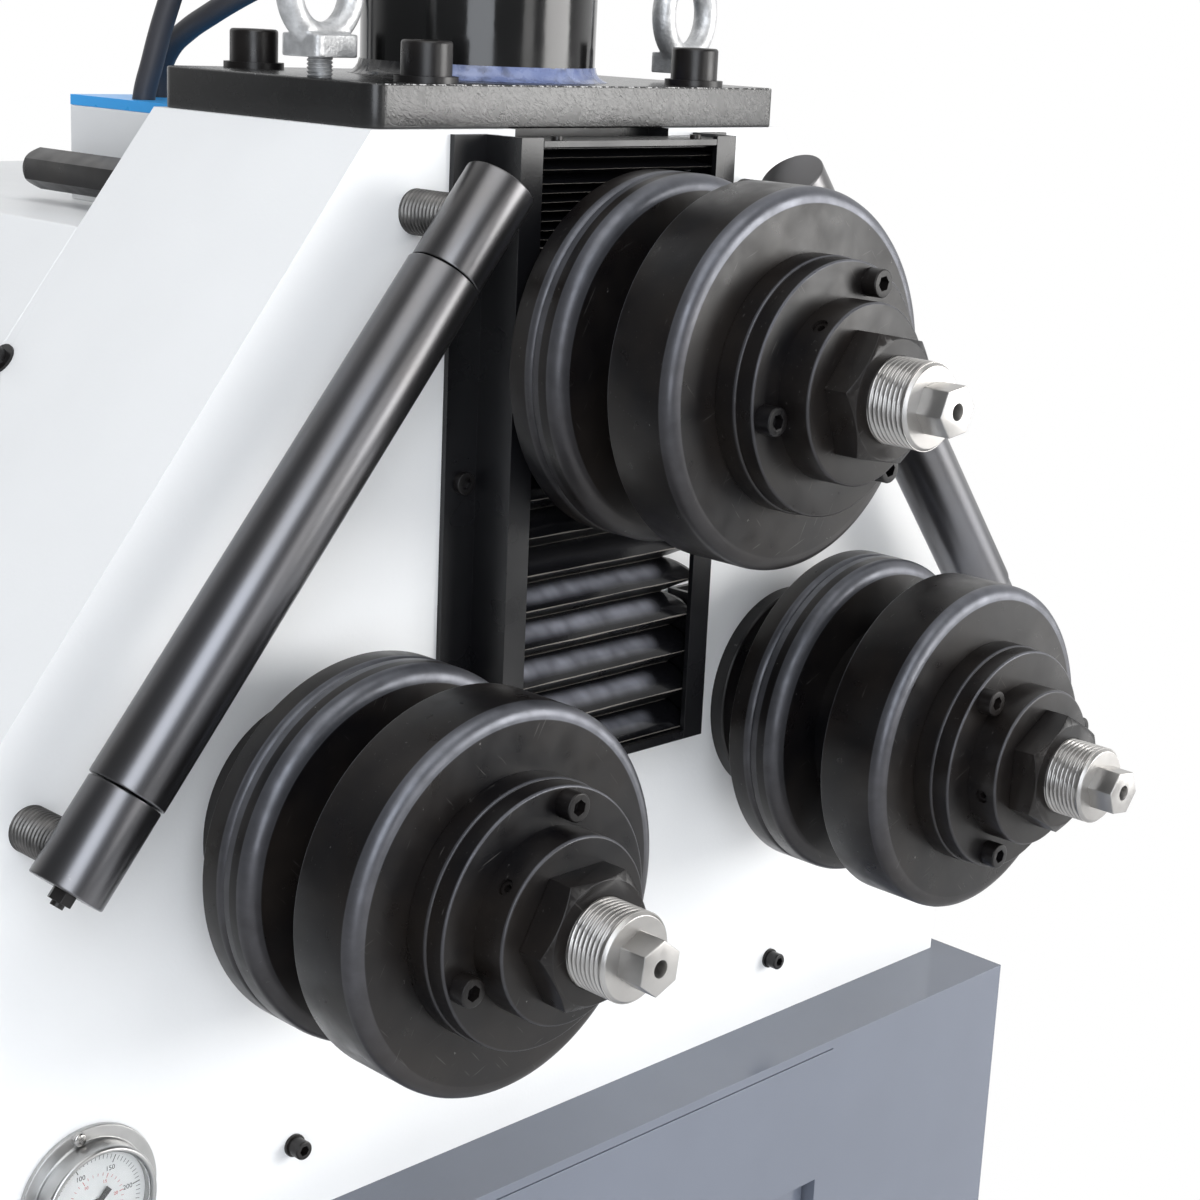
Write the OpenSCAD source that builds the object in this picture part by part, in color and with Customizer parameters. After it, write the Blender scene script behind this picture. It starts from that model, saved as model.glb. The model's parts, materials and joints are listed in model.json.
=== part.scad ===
// Ring roller: a floor-standing machine that bends bar, tube and profile between three rolls.
// Lengths are in millimetres. Pieces are drawn in the machine's own frame, where X runs across,
// Y runs backwards from the head's front panel and Z runs up from the floor. in_place() then
// moves them so that the origin lies on the floor under the middle of the footprint.

/* [Shafts] */
// Half the distance between the two lower shafts
shaft_half = 170; // [160:1:190]
// Height of the upper shaft over the lower ones, slide raised
upper_rise = 210; // [200:1:214]
// How far the slide comes down from there
slide_travel = 130; // [60:1:132]
// Diameter of each shaft
shaft_d = 50; // [40:1:56]
// Outer diameter of the shaft's thread
thread_d = 39.5; // [36:0.5:46]
// Pitch of the shaft's thread
thread_pitch = 2.5; // [1.5:0.5:4]
// Threaded length in front of the nut
thread_l = 19; // [14:1:30]
// Length of the chamfer in front of the thread
pilot_l = 1.6; // [1:0.2:6]
// Width across the flats of the drive end
drive_af = 21; // [17:1:24]
// Length of the drive end
drive_l = 13.4; // [12:0.2:25]
// Diameter of the centre hole
centre_d = 7; // [4:0.5:10]
// Depth of the centre hole
centre_depth = 10; // [6:1:16]

/* [Rolls] */
// Outer diameter of every roll
roll_d = 176; // [150:1:178]
// Width of the rear roll's back rim
back_rim_w = 15; // [12:1:20]
// Width of the rear roll's front rim
front_rim_w = 17; // [12:1:22]
// Length of the hub between the two rolls
hub_l = 31; // [20:1:50]
// Diameter of that hub
hub_d = 110; // [90:1:125]
// Width of the front roll
front_roll_w = 38; // [28:1:50]
// Rounding of the back rim
back_rim_round = 4; // [2:0.5:6]
// Rounding of the front rim
front_rim_round = 7; // [4:0.5:9]
// Rounding of the front roll
front_roll_round = 6; // [4:0.5:10]

/* [Collars and nuts] */
// Outer diameter of the clamping collar
collar_d = 118; // [112:1:130]
// Width of the clamping collar
collar_w = 21; // [18:1:30]
// Width of the clamping collar's rear land
collar_land_w = 11.5; // [8:0.5:15]
// How much smaller the collar's front land is in radius
collar_step = 0.8; // [0.4:0.1:2]
// Outer diameter of the end collar
end_collar_d = 82.5; // [76:0.5:86]
// Width of the end collar
end_collar_w = 17; // [12:1:24]
// Diameter of the circle that the collar screws lie on
screw_circle_d = 101; // [99:0.5:102]
// Head diameter of a collar screw
collar_screw_d = 13; // [10:0.5:13]
// Head height of a collar screw
collar_screw_h = 8; // [6:0.5:10]
// Width across the flats of the shaft nut
nut_af = 55; // [52:1:60]
// Width of the shaft nut
nut_w = 15; // [12:1:24]

/* [Head] */
// Width of the head at its foot
head_w = 680; // [640:1:700]
// Width of the head at its top
head_top_w = 279; // [276:1:320]
// Depth of the head
head_d = 167; // [150:1:200]
// Plate thickness of the head
head_wall = 12; // [8:1:16]
// Height of the lower shafts over the base
foot_to_shafts = 206.5; // [190:0.5:240]
// Height of the head's top over the lower shafts
shafts_to_top = 314; // [300:1:340]
// Height of the upright part of the head's side over the base
head_side_h = 261; // [220:1:290]
// Width of the slot that the slide passes through
slot_w = 105; // [98:1:110]

/* [Bearings] */
// Diameter of a bearing's flange
bearing_flange_d = 119; // [110:1:140]
// Thickness of that flange
bearing_flange_w = 9; // [6:1:14]
// Diameter of a bearing's barrel
bearing_barrel_d = 90; // [80:1:100]
// Length of that barrel
bearing_barrel_l = 34; // [24:1:50]
// Clear length of shaft between the flange and the rear roll
roll_standoff = 30; // [26:1:45]

/* [Slide] */
// Width of the slide block
slide_w = 108; // [104:1:130]
// Depth of the slide block
slide_d = 124; // [110:1:130]
// Height of the slide block
slide_h = 112; // [110:1:124]
// Thickness of the slide's front plate
slide_plate_w = 15; // [10:1:16]
// Height of the slide's front plate
slide_plate_h = 100; // [92:1:104]
// Width of one slide way
way_w = 22; // [14:1:30]
// Diameter of the piston rod
rod_d = 45; // [36:1:50]

/* [Rails and bellows] */
// Half the width over the two rails
rail_half = 73.5; // [72:0.5:80]
// How far the rails stand in front of the panel
rail_depth = 27; // [25:0.5:32]
// Width of a rail's front flange
rail_flange_w = 14; // [10:0.5:16]
// Sheet thickness of the rails
rail_sheet = 3; // [2:0.5:4]
// Width of the left rail's foot
rail_foot_w = 19.5; // [16:0.5:26]
// How far the rails reach below the lower shafts' axes
rail_drop = 1.5; // [0:0.5:3]
// Length of the rails
rail_l = 313.5; // [300:0.5:314]
// Thickness of the bottom bar
bar_t = 4.5; // [3:0.5:8]
// Thickness of the top bar
top_bar_t = 3; // [2:0.5:5]
// Gap between the top bar and the rails' upper end
bar_drop = 1.5; // [0.5:0.5:4]
// Number of pleats in each bellows
pleats = 8; // [5:1:9]
// Depth of a pleat
pleat_depth = 15; // [10:0.5:17]

/* [Top plate] */
// Width of the top plate
plate_w = 272; // [268:1:276]
// Thickness of the top plate
plate_t = 20; // [14:1:30]
// Set-back of the top plate from the head's front
plate_setback = 4; // [2:0.5:6]
// Corner radius of the top plate
plate_r = 9; // [4:0.5:10]
// Half the distance between the plate screws across
plate_screw_x = 91; // [85:1:100]
// Distance of the plate screws from the plate's front and back edge
plate_screw_inset = 16; // [15.5:0.5:22]
// Head diameter of a plate screw
plate_screw_d = 24; // [20:0.5:26]
// Head height of a plate screw
plate_screw_h = 16; // [12:0.5:18]
// Outer diameter of a plate screw's washer
plate_washer_d = 30; // [28:0.5:32]
// Distance of the eye bolts from the middle
eye_x = 123; // [116:0.5:124]
// Distance of the eye bolts behind the panel
eye_y = 58; // [54:1:70]
// Outer diameter of an eye bolt's ring
eye_ring_d = 54; // [44:1:60]
// Thickness of that ring
eye_wire_d = 12; // [8:0.5:13]

/* [Cylinder] */
// Outer diameter of the cylinder
cyl_d = 119; // [104:1:122]
// Bore of the cylinder
cyl_bore_d = 90; // [84:1:94]
// Length of the cylinder's barrel
cyl_l = 262; // [250:1:320]
// Distance of the cylinder's axis behind the panel
cyl_y = 85.5; // [80:0.5:88]
// Thickness of the cylinder's cap
cap_w = 26; // [20:1:40]
// Length of the gland at the barrel's foot
gland_w = 30; // [20:1:40]
// Thickness of the piston
piston_w = 30; // [20:1:40]
// Outer diameter of the hoses
hose_d = 12; // [10:0.5:16]

/* [Side guide rollers] */
// Distance of the upper studs from the middle
guide_top_x = 112.5; // [108:0.5:130]
// Height of the upper studs over the lower shafts
guide_top_z = 277.5; // [260:0.5:285]
// Distance of the lower studs from the head's side
guide_low_inset = 23; // [18:0.5:40]
// Height of the lower studs over the lower shafts
guide_low_z = 27; // [15:0.5:40]
// Distance of the guide rollers' axes in front of the panel
guide_f = 42; // [36:1:60]
// Outer diameter of a guide roller's sleeve
sleeve_d = 35.6; // [32:0.2:40]
// Outer diameter of the end blocks
block_d = 34; // [30:0.5:38]
// Length of an end block
block_l = 50; // [44:1:60]
// Distance from an upper block's outer end to its stud
stud_inset = 20; // [16:1:24]
// Distance from a lower block's outer end to its stud
low_stud_inset = 16; // [14:0.5:20]
// Diameter of the studs
stud_d = 21; // [16:0.5:22]
// Diameter of the axle in each sleeve
axle_d = 18; // [12:0.5:20]

/* [Gauge] */
// Distance of the gauge's middle from the head's side
gauge_inset = 48; // [40:1:55]
// Height of the gauge below the lower shafts
gauge_drop = 154; // [145:1:160]
// Diameter of the gauge's flange
gauge_flange_d = 71; // [68:0.5:76]
// Diameter of the gauge's case
gauge_case_d = 58; // [50:0.5:60]
// How far the case stands in front of the panel
gauge_case_w = 13; // [10:0.5:18]

/* [Base] */
// Width of the base cabinet
base_w = 706; // [704:1:740]
// Height of the base cabinet's top over the floor
base_h = 640; // [600:1:720]
// How far the base stands in front of the panel
base_front = 46; // [30:1:60]
// How far the base reaches behind the panel
base_back = 560; // [545:1:640]
// Height of the foot rails
foot_h = 30; // [20:1:50]
// Width of a foot rail
foot_w = 60; // [50:1:80]
// How far the foot rails stand out at the front and back
foot_out = 40; // [34:1:60]
// Sheet thickness of the base cabinet
base_sheet = 3; // [2:0.5:4]
// Thickness of the base cabinet's top
base_top_t = 5; // [4:0.5:10]
// Width of the door opening
door_w = 354; // [320:1:400]
// Height of the door opening
door_h = 470; // [400:1:480]
// Depth of the recess that the door lies in
door_recess = 8; // [6:0.5:12]
// Diameter of an anchor hole
anchor_d = 14; // [10:0.5:18]

/* [Rear housing] */
// How far the rear housing reaches behind the panel
rear_back = 540; // [530:1:556]
// Height of the rear housing's top over the lower shafts
rear_top = 257; // [250:1:262]
// Sheet thickness of the rear housing
rear_sheet = 3; // [2:0.5:4]
// Distance across the flats of the bar behind the head
rear_bar_af = 19; // [17:0.5:24]
// Length of that bar
rear_bar_l = 129; // [90:1:160]
// Width of the valve box
valve_box_w = 210; // [180:1:216]
// Depth of the valve box
valve_box_d = 128; // [110:1:160]
// Height of the valve box without its lid
valve_box_h = 50.5; // [40:0.5:70]
// Thickness of the valve box's lid
lid_t = 5.5; // [4:0.5:8]

/* [Drive] */
// Teeth of the gear on each lower shaft
gear_teeth = 44; // [40:2:48]
// Teeth of the pinion between them
pinion_teeth = 24; // [20:2:28]
// Face width of the gears
gear_w = 30; // [20:1:34]
// Diameter of the motor
motor_d = 160; // [130:1:170]
// Length of the motor
motor_length = 180; // [150:1:190]

/* [Hidden] */
$fn = 64;

// Fits and small values that several pieces share
overrun = 2;
seat_gap = 0.03;
run_gap = 0.05;
free_gap = 0.5;
edge = 1;
arc_steps = 5;

// Heights over the floor
shafts_z = base_h + foot_to_shafts;
gauge_x = head_w / 2 - gauge_inset;
guide_low_x = head_w / 2 - guide_low_inset;
head_top_z = shafts_z + shafts_to_top;
plate_top_z = head_top_z + plate_t;
upper_z = shafts_z + upper_rise;
rear_top_z = shafts_z + rear_top;
lid_z = rear_top_z + valve_box_h;

// Places along a shaft, measured forwards from the panel
roll_f = bearing_flange_w + roll_standoff;
front_rim_f = roll_f + back_rim_w;
hub_f = front_rim_f + front_rim_w;
front_roll_f = hub_f + hub_l;
collar_f = front_roll_f + front_roll_w;
end_collar_f = collar_f + collar_w;
nut_f = end_collar_f + end_collar_w;
thread_f = nut_f + nut_w;
pilot_f = thread_f + thread_l;
drive_f = pilot_f + pilot_l;
front_reach = drive_f + drive_l;
back_reach = base_back + foot_out;
frame_y = (front_reach - back_reach) / 2;

// How each shaft stands: X, height, angle of its collar screws, nut, radial screw and drive end
left_pose = [-shaft_half, shafts_z, 80, 0, 142, 52];
right_pose = [shaft_half, shafts_z, 10, 30, 193, 22];
upper_pose = [0, upper_z, 70, 50, 130, 38];

// Shaft details
shaft_r = shaft_d / 2;
bore_r = shaft_r + seat_gap;
shoulder_d = 70;
shoulder_gap = 0.3;
thread_depth_share = 0.55;
thread_depth = thread_pitch * thread_depth_share;
pilot_drop = 1.4;
pilot_r = thread_d / 2 - pilot_drop;
free_share = 0.05;
half_share = 0.5;
sides = [-1, 1];
drive_turned_share = 1.1;
key_share = 0.48;
screw_shank_share = 0.62;
socket_share = 0.55;
nut_face_share = 0.98;
roll_hole_depth = 14;
radial_screw_d = 7;
radial_screw_depth = 6;
screw_turns = [0, 120, 240];

// Slide
neck_gap = 5.5;
slide_bearing_d = 84;
slide_bearing_w = 26;
slide_cap_w = 9;
shaft_clearance = 1;
slide_cap_d = 100;
slide_flange_h = 12;
slide_flange_d = 80;
tail_ring_w = 10;
way_low = 16;
way_h = shafts_to_top - head_wall - way_low;
slide_shift = 5.5;
slide_y = cyl_y - slide_shift;
slide_front_y = slide_y - slide_d / 2;
slide_back_y = slide_y + slide_d / 2;
plate_back_f = 7;
plate_front_f = plate_back_f + slide_plate_w;
slot_low = upper_rise - slide_travel - slide_plate_h / 2;

// Cylinder
cyl_top_z = plate_top_z + cyl_l;
piston_stop = 12;
piston_top_z = cyl_top_z - piston_stop;
cap_chamfer = 3;
rod_clearance = 1;
weld_w = 7;
weld_h = 6;
port_d = 14;
port_depth = 10;
fitting_hex = 19;
fitting_hex_l = 12;
ferrule_d = 17;
box_ferrule_l = 24;
function last_of(route) = route[len(route) - 1];

// Gears: the pinion's and the gears' pitch circles touch between the shafts
gear_module = 2 * shaft_half / (gear_teeth + pinion_teeth);
pressure_angle = 20;
gear_backlash_share = 0.05;
tip_share = 0.9;
root_share = 1.25;
flank_steps = 4;
gear_gap = 9;
gear_y = head_d + bearing_flange_w + gear_gap;
gear_hub_d = 76;
gear_recess = 7;
gear_rim = 12;
shaft_tail = 12;
shaft_tail_y = gear_y + gear_w + shaft_tail;

// Base cabinet
door_top_drop = 88;
door_low = base_h - door_top_drop - door_h;
door_gap = 2;
door_sheet = 2;
door_fold = 6;
return_depth = door_recess + door_fold;
hinge_d = 14;
hinge_pin_d = 8;
hinge_l = 50;
hinge_inset_share = 0.18;
seam_w = 0.8;
seam_drop = 5.5;
seam_end = 185;
seam_depth = 1.2;
vent_count = 7;
vent_w = 220;
vent_h = 10;
vent_pitch = 28;
vent_z = 190;
foot_inset = 15;
foot_x = base_w / 2 - foot_w / 2 - foot_inset;
anchor_y_front = -base_front - foot_out / 2;
anchor_y_back = base_back + foot_out / 2;

// Hose routes, chosen by hand, in the machine's frame; heights are over the lower shafts
cap_route = [
    [-92, 246, 290], [-92, 246, 302], [-92, 245.5, 314], [-89.5, 241, 333], [-87, 237.5, 348.5],
    [-84.3, 233, 364], [-79.5, 227, 387], [-75, 223, 412], [-71.5, 221, 441], [-69.5, 220.5, 472],
    [-67, 220, 505], [-62.5, 217, 538], [-54.5, 210, 569], [-45, 200, 592], [-37, 189, 605],
    [-32.5, 178, 609.5], [-32, 172, 610], [-32, 166, 610]
];
gland_route = [
    [-64, 272, 290], [-64, 272, 302], [-64, 272, 314], [-64, 270, 328], [-63, 262.5, 340],
    [-61.5, 249, 349.5], [-59.5, 232, 358], [-56.5, 215.5, 366], [-51, 201, 373.5], [-43, 188.5, 380.5],
    [-35, 179, 386], [-30, 173, 388], [-30, 167, 388]
];

// Moves a piece from the machine's frame to the footprint's middle
module in_place() {
    translate([0, frame_y, 0]) children();
}

// Turns a piece drawn along +Z so that it points out of the front panel
module facing_front(x, z, f = 0) {
    translate([x, -f, z]) rotate([90, 0, 0]) children();
}

// Turns a piece drawn along +Z so that it points backwards
module facing_back(x, z, y = 0) {
    translate([x, y, z]) rotate([-90, 0, 0]) children();
}

module tube(d_out, d_in, h) {
    difference() {
        cylinder(d = d_out, h = h);
        translate([0, 0, -overrun]) cylinder(d = d_in, h = h + 2 * overrun);
    }
}

module hexagon(af, h) {
    cylinder(d = af / cos(30), h = h, $fn = 6);
}

// Socket head screw: its head stands on z = 0 and its shank goes down
module socket_screw(head_d, head_h, shank_l) {
    difference() {
        union() {
            rotate_extrude() polygon(concat([[0, 0], [head_d / 2, 0]],
                front_corner(head_d / 2, head_h, head_h / 10), [[0, head_h]]));
            translate([0, 0, -shank_l]) cylinder(d = head_d * screw_shank_share, h = shank_l + head_h / 2);
        }
        translate([0, 0, head_h * (1 - socket_share)]) hexagon(head_d * key_share, head_h);
    }
}

// Rounded corner between a rim of radius r and a front face at height f
function front_corner(r, f, round) = [for (i = [0:arc_steps])
    [r - round + round * cos(90 * i / arc_steps), f - round + round * sin(90 * i / arc_steps)]];

// Rounded corner between a back face at height f and a rim of radius r
function back_corner(r, f, round) = [for (i = [0:arc_steps])
    [r - round + round * sin(90 * i / arc_steps), f + round - round * cos(90 * i / arc_steps)]];

// Plate with upright rounded corners, its lower left front corner at the origin
module rounded_plate(w, d, t, r) {
    translate([r, 0, 0]) cube([w - 2 * r, d, t]);
    translate([0, r, 0]) cube([w, d - 2 * r, t]);
    for (x = [r, w - r], y = [r, d - r]) translate([x, y, 0]) cylinder(r = r, h = t);
}

// Rolls, collars and nuts, each drawn along a shaft that points to the front

module on_shaft(pose, f) {
    in_place() facing_front(pose[0], pose[1], f) children();
}

module thread_profile(rear_f, shoulder_from) {
    grooves = floor(thread_l / thread_pitch + half_share - free_share);
    polygon(concat(
        [[0, rear_f], [shaft_r - edge, rear_f], [shaft_r, rear_f + edge], [shaft_r, shoulder_from],
         [shoulder_d / 2, shoulder_from], [shoulder_d / 2, roll_f], [shaft_r, roll_f],
         [shaft_r, nut_f - edge], [thread_d / 2, nut_f - edge]],
        [for (i = [0:grooves - 1]) each [
            [thread_d / 2, thread_f + (i - half_share) * thread_pitch],
            [thread_d / 2 - thread_depth, thread_f + i * thread_pitch]]],
        [[thread_d / 2, thread_f + (grooves - half_share) * thread_pitch], [thread_d / 2, pilot_f],
         [pilot_r, drive_f], [0, drive_f]]));
}

module shaft(pose, rear_f, shoulder_from) {
    on_shaft(pose, 0) color("lightsteelblue") difference() {
        union() {
            rotate_extrude() thread_profile(rear_f, shoulder_from);
            intersection() {
                translate([0, 0, drive_f - pilot_l]) rotate([0, 0, pose[5]])
                    hexagon(drive_af, drive_l + pilot_l);
                cylinder(d = drive_af * drive_turned_share, h = front_reach);
            }
        }
        translate([0, 0, front_reach - centre_depth]) cylinder(d = centre_d, h = centre_depth + overrun);
    }
}

module rear_roll(pose) {
    r = roll_d / 2;
    on_shaft(pose, roll_f) color("dimgray") rotate_extrude() polygon(concat(
        [[bore_r, 0]],
        back_corner(r, 0, edge),
        front_corner(r, back_rim_w, back_rim_round),
        back_corner(r, back_rim_w, edge),
        front_corner(r, back_rim_w + front_rim_w, front_rim_round),
        [[hub_d / 2, back_rim_w + front_rim_w], [hub_d / 2, back_rim_w + front_rim_w + hub_l],
         [bore_r, back_rim_w + front_rim_w + hub_l]]));
}

module front_roll(pose) {
    r = roll_d / 2;
    on_shaft(pose, front_roll_f) color("dimgray") difference() {
        rotate_extrude() polygon(concat(
            [[bore_r, 0]],
            back_corner(r, 0, edge),
            front_corner(r, front_roll_w, front_roll_round),
            [[bore_r, front_roll_w]]));
        for (a = screw_turns) rotate([0, 0, pose[2] + a]) translate([screw_circle_d / 2, 0,
            front_roll_w - roll_hole_depth])
            cylinder(d = collar_screw_d * screw_shank_share + 2 * seat_gap, h = roll_hole_depth + overrun);
    }
}

module collar(pose) {
    r = collar_d / 2;
    front_r = r - collar_step;
    on_shaft(pose, collar_f) color("dimgray") difference() {
        rotate_extrude() polygon([
            [bore_r, 0], [r, 0], [r, collar_land_w - edge], [r - edge, collar_land_w],
            [front_r - edge / 2, collar_land_w], [front_r, collar_land_w + edge],
            [front_r, collar_w - edge], [front_r - edge, collar_w],
            [end_collar_d / 2, collar_w], [end_collar_d / 2, collar_w + end_collar_w - edge],
            [end_collar_d / 2 - edge, collar_w + end_collar_w], [bore_r, collar_w + end_collar_w]]);
        for (a = screw_turns) rotate([0, 0, pose[2] + a]) translate([screw_circle_d / 2, 0, -overrun])
            cylinder(d = collar_screw_d * screw_shank_share + 2 * seat_gap, h = collar_w + 2 * overrun);
        rotate([0, 0, pose[4]]) translate([end_collar_d / 2 - radial_screw_depth, 0,
            collar_w + end_collar_w / 2]) rotate([0, 90, 0])
            cylinder(d = radial_screw_d, h = radial_screw_depth + overrun);
    }
}

module collar_screws(pose) {
    on_shaft(pose, end_collar_f) color("black") for (a = screw_turns) rotate([0, 0, pose[2] + a])
        translate([screw_circle_d / 2, 0, 0])
        socket_screw(collar_screw_d, collar_screw_h, collar_w + roll_hole_depth - edge);
}

module shaft_nut(pose) {
    corner_r = nut_af / 2 / cos(30);
    face_r = nut_af / 2 * nut_face_share;
    on_shaft(pose, nut_f) color("dimgray") difference() {
        intersection() {
            rotate([0, 0, pose[3]]) hexagon(nut_af, nut_w);
            rotate_extrude() polygon([[0, 0], [corner_r + edge, 0],
                [corner_r + edge, nut_w - (corner_r + edge - face_r) * tan(30)],
                [face_r, nut_w], [0, nut_w]]);
        }
        translate([0, 0, -overrun]) cylinder(d = thread_d + 2 * seat_gap, h = nut_w + 2 * overrun);
    }
}

lower_tail_f = -shaft_tail_y;
upper_tail_f = -(slide_back_y + tail_ring_w);
lower_shoulder_f = bearing_flange_w + shoulder_gap;
upper_shoulder_f = plate_front_f + slide_cap_w + shoulder_gap;

module left_shaft() { shaft(left_pose, lower_tail_f, lower_shoulder_f); }
module left_rear_roll() { rear_roll(left_pose); }
module left_front_roll() { front_roll(left_pose); }
module left_collar() { collar(left_pose); }
module left_collar_screws() { collar_screws(left_pose); }
module left_nut() { shaft_nut(left_pose); }
module right_shaft() { shaft(right_pose, lower_tail_f, lower_shoulder_f); }
module right_rear_roll() { rear_roll(right_pose); }
module right_front_roll() { front_roll(right_pose); }
module right_collar() { collar(right_pose); }
module right_collar_screws() { collar_screws(right_pose); }
module right_nut() { shaft_nut(right_pose); }

// The upper shaft also carries a ring behind the slide block that keeps it from sliding forwards
module upper_shaft() {
    shaft(upper_pose, upper_tail_f, upper_shoulder_f);
    on_shaft(upper_pose, upper_tail_f + tail_ring_w - shoulder_gap) color("lightsteelblue")
        rotate([180, 0, 0]) tube(shoulder_d, shaft_d - edge, tail_ring_w - shoulder_gap);
}
module upper_rear_roll() { rear_roll(upper_pose); }
module upper_front_roll() { front_roll(upper_pose); }
module upper_collar() { collar(upper_pose); }
module upper_collar_screws() { collar_screws(upper_pose); }
module upper_nut() { shaft_nut(upper_pose); }

// Head frame: a welded box with sloped shoulders

// Half width of the head at a height over the lower shafts, with an inset from its outer skin
shoulder_slope = (head_w - head_top_w) / 2 / (foot_to_shafts + shafts_to_top - head_side_h);
function half_width(rise, inset = 0) = min(head_w / 2 - inset,
    head_top_w / 2 + (shafts_to_top - rise) * shoulder_slope
    - inset * sqrt(1 + shoulder_slope * shoulder_slope));

// Height over the lower shafts at which the inset shoulder meets the inset side
function shoulder_rise(inset) = shafts_to_top
    - (head_w / 2 - head_top_w / 2 - inset + inset * sqrt(1 + shoulder_slope * shoulder_slope))
    / shoulder_slope;

// Outline of the head's front between two heights over the lower shafts
module head_outline(low, high, inset = 0) {
    polygon([
        [-half_width(low, inset), low], [half_width(low, inset), low],
        [half_width(shoulder_rise(inset), inset), shoulder_rise(inset)], [half_width(high, inset), high],
        [-half_width(high, inset), high], [-half_width(shoulder_rise(inset), inset), shoulder_rise(inset)]]);
}

// Solid behind an outline, from y to y + d
module head_prism(y, d, low, high, inset = 0) {
    translate([0, y + d, shafts_z]) rotate([90, 0, 0]) linear_extrude(d) head_outline(low, high, inset);
}

module head_frame() {
    in_place() color("whitesmoke") difference() {
        head_prism(0, head_d, -foot_to_shafts, shafts_to_top);
        head_prism(head_wall, head_d - 2 * head_wall, head_wall - foot_to_shafts,
            shafts_to_top - head_wall, head_wall);
        translate([-slot_w / 2, -overrun, shafts_z + slot_low])
            cube([slot_w, head_wall + 2 * overrun, shafts_to_top - slot_low + overrun]);
        translate([0, cyl_y, head_top_z - head_wall - overrun])
            cylinder(d = rod_d + 2 * rod_clearance, h = head_wall + 2 * overrun);
        for (x = [-shaft_half, shaft_half]) facing_back(x, shafts_z, -overrun)
            cylinder(d = bearing_barrel_d + 2 * seat_gap, h = head_d + 2 * overrun);
        plate_screw_holes(head_top_z - head_wall - overrun, head_wall + 2 * overrun);
        for (s = [-1, 1]) {
            stud_holes(s);
            facing_back(s * panel_screw_x, shafts_z - panel_screw_drop, -overrun)
                cylinder(d = screw_shank_d(panel_screw_d), h = head_wall + 2 * overrun);
            on_shoulder(s, slope_screw_rise, head_d - head_wall / 2) translate([0, 0, -head_wall])
                cylinder(d = screw_shank_d(panel_screw_d), h = head_wall + overrun);
        }
        for (s = [-1, 1], z = rail_screw_z) facing_back(s * rail_screw_x, shafts_z + z, -overrun)
            cylinder(d = screw_shank_d(rail_screw_d), h = head_wall + 2 * overrun);
        facing_back(-gauge_x, shafts_z - gauge_drop, -overrun)
            cylinder(d = gauge_stem_d + 2 * free_gap, h = head_wall + 2 * overrun);
    }
}
function screw_shank_d(head) = head * screw_shank_share + 2 * seat_gap;

// Slide ways: two upright bars inside the head that the slide block runs between
module slide_ways() {
    in_place() color("silver") for (s = [-1, 1])
        translate([s * (slide_w / 2 + way_w / 2 + 2 * run_gap) - way_w / 2, head_wall,
            shafts_z + way_low])
            cube([way_w, head_d - 2 * head_wall, way_h]);
}

// Flange bearings of the lower shafts, in the head's front and back plates
module flange_bearing() {
    tube(bearing_flange_d, shaft_d + 2 * run_gap, bearing_flange_w - edge);
    translate([0, 0, bearing_flange_w - edge]) difference() {
        cylinder(d1 = bearing_flange_d, d2 = bearing_flange_d - 2 * edge, h = edge);
        translate([0, 0, -overrun]) cylinder(d = shaft_d + 2 * run_gap, h = edge + 2 * overrun);
    }
    translate([0, 0, -bearing_barrel_l]) tube(bearing_barrel_d, shaft_d + 2 * run_gap, bearing_barrel_l);
}
module shaft_bearings() {
    in_place() color("dimgray") for (x = [-shaft_half, shaft_half]) {
        facing_front(x, shafts_z) flange_bearing();
        facing_back(x, shafts_z, head_d) flange_bearing();
    }
}

// Slide block with its neck through the slot and its front plate between the rails
module slide_block() {
    neck_w = slot_w - 2 * neck_gap;
    in_place() color("dimgray") difference() {
        union() {
            translate([-slide_w / 2, slide_front_y, upper_z - slide_h / 2])
                cube([slide_w, slide_d, slide_h]);
            translate([-neck_w / 2, -plate_back_f, upper_z - slide_plate_h / 2 + edge])
                cube([neck_w, slide_front_y + plate_back_f + overrun, slide_plate_h - 2 * edge]);
            translate([-(rail_half - rail_sheet - free_gap), -plate_front_f, upper_z - slide_plate_h / 2])
                cube([2 * (rail_half - rail_sheet - free_gap), slide_plate_w, slide_plate_h]);
        }
        facing_front(0, upper_z, -slide_back_y - overrun)
            cylinder(d = shaft_d + 2 * shaft_clearance, h = slide_back_y + plate_front_f + 2 * overrun);
        facing_front(0, upper_z, plate_front_f - slide_bearing_w)
            cylinder(d = slide_bearing_d + 2 * seat_gap, h = slide_bearing_w + overrun);
        facing_back(0, upper_z, slide_back_y - slide_bearing_w)
            cylinder(d = slide_bearing_d + 2 * seat_gap, h = slide_bearing_w + overrun);
    }
}

module slide_bearings() {
    in_place() color("silver") {
        facing_front(0, upper_z, plate_front_f - slide_bearing_w)
            tube(slide_bearing_d, shaft_d + 2 * run_gap, slide_bearing_w);
        facing_back(0, upper_z, slide_back_y - slide_bearing_w)
            tube(slide_bearing_d, shaft_d + 2 * run_gap, slide_bearing_w);
        facing_front(0, upper_z, plate_front_f)
            tube(slide_cap_d, shaft_d + 2 * run_gap, slide_cap_w);
    }
}

// Piston rod with its foot flange and piston, one turned piece
module piston_rod() {
    foot_z = upper_z + slide_h / 2;
    in_place() color("silver") translate([0, cyl_y, 0]) {
        translate([0, 0, foot_z]) cylinder(d = slide_flange_d, h = slide_flange_h);
        translate([0, 0, foot_z]) cylinder(d = rod_d, h = piston_top_z - foot_z);
        translate([0, 0, piston_top_z - piston_w]) cylinder(d = cyl_bore_d - 2 * run_gap, h = piston_w);
    }
}

// Rails, bars and bellows in front of the panel

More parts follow.
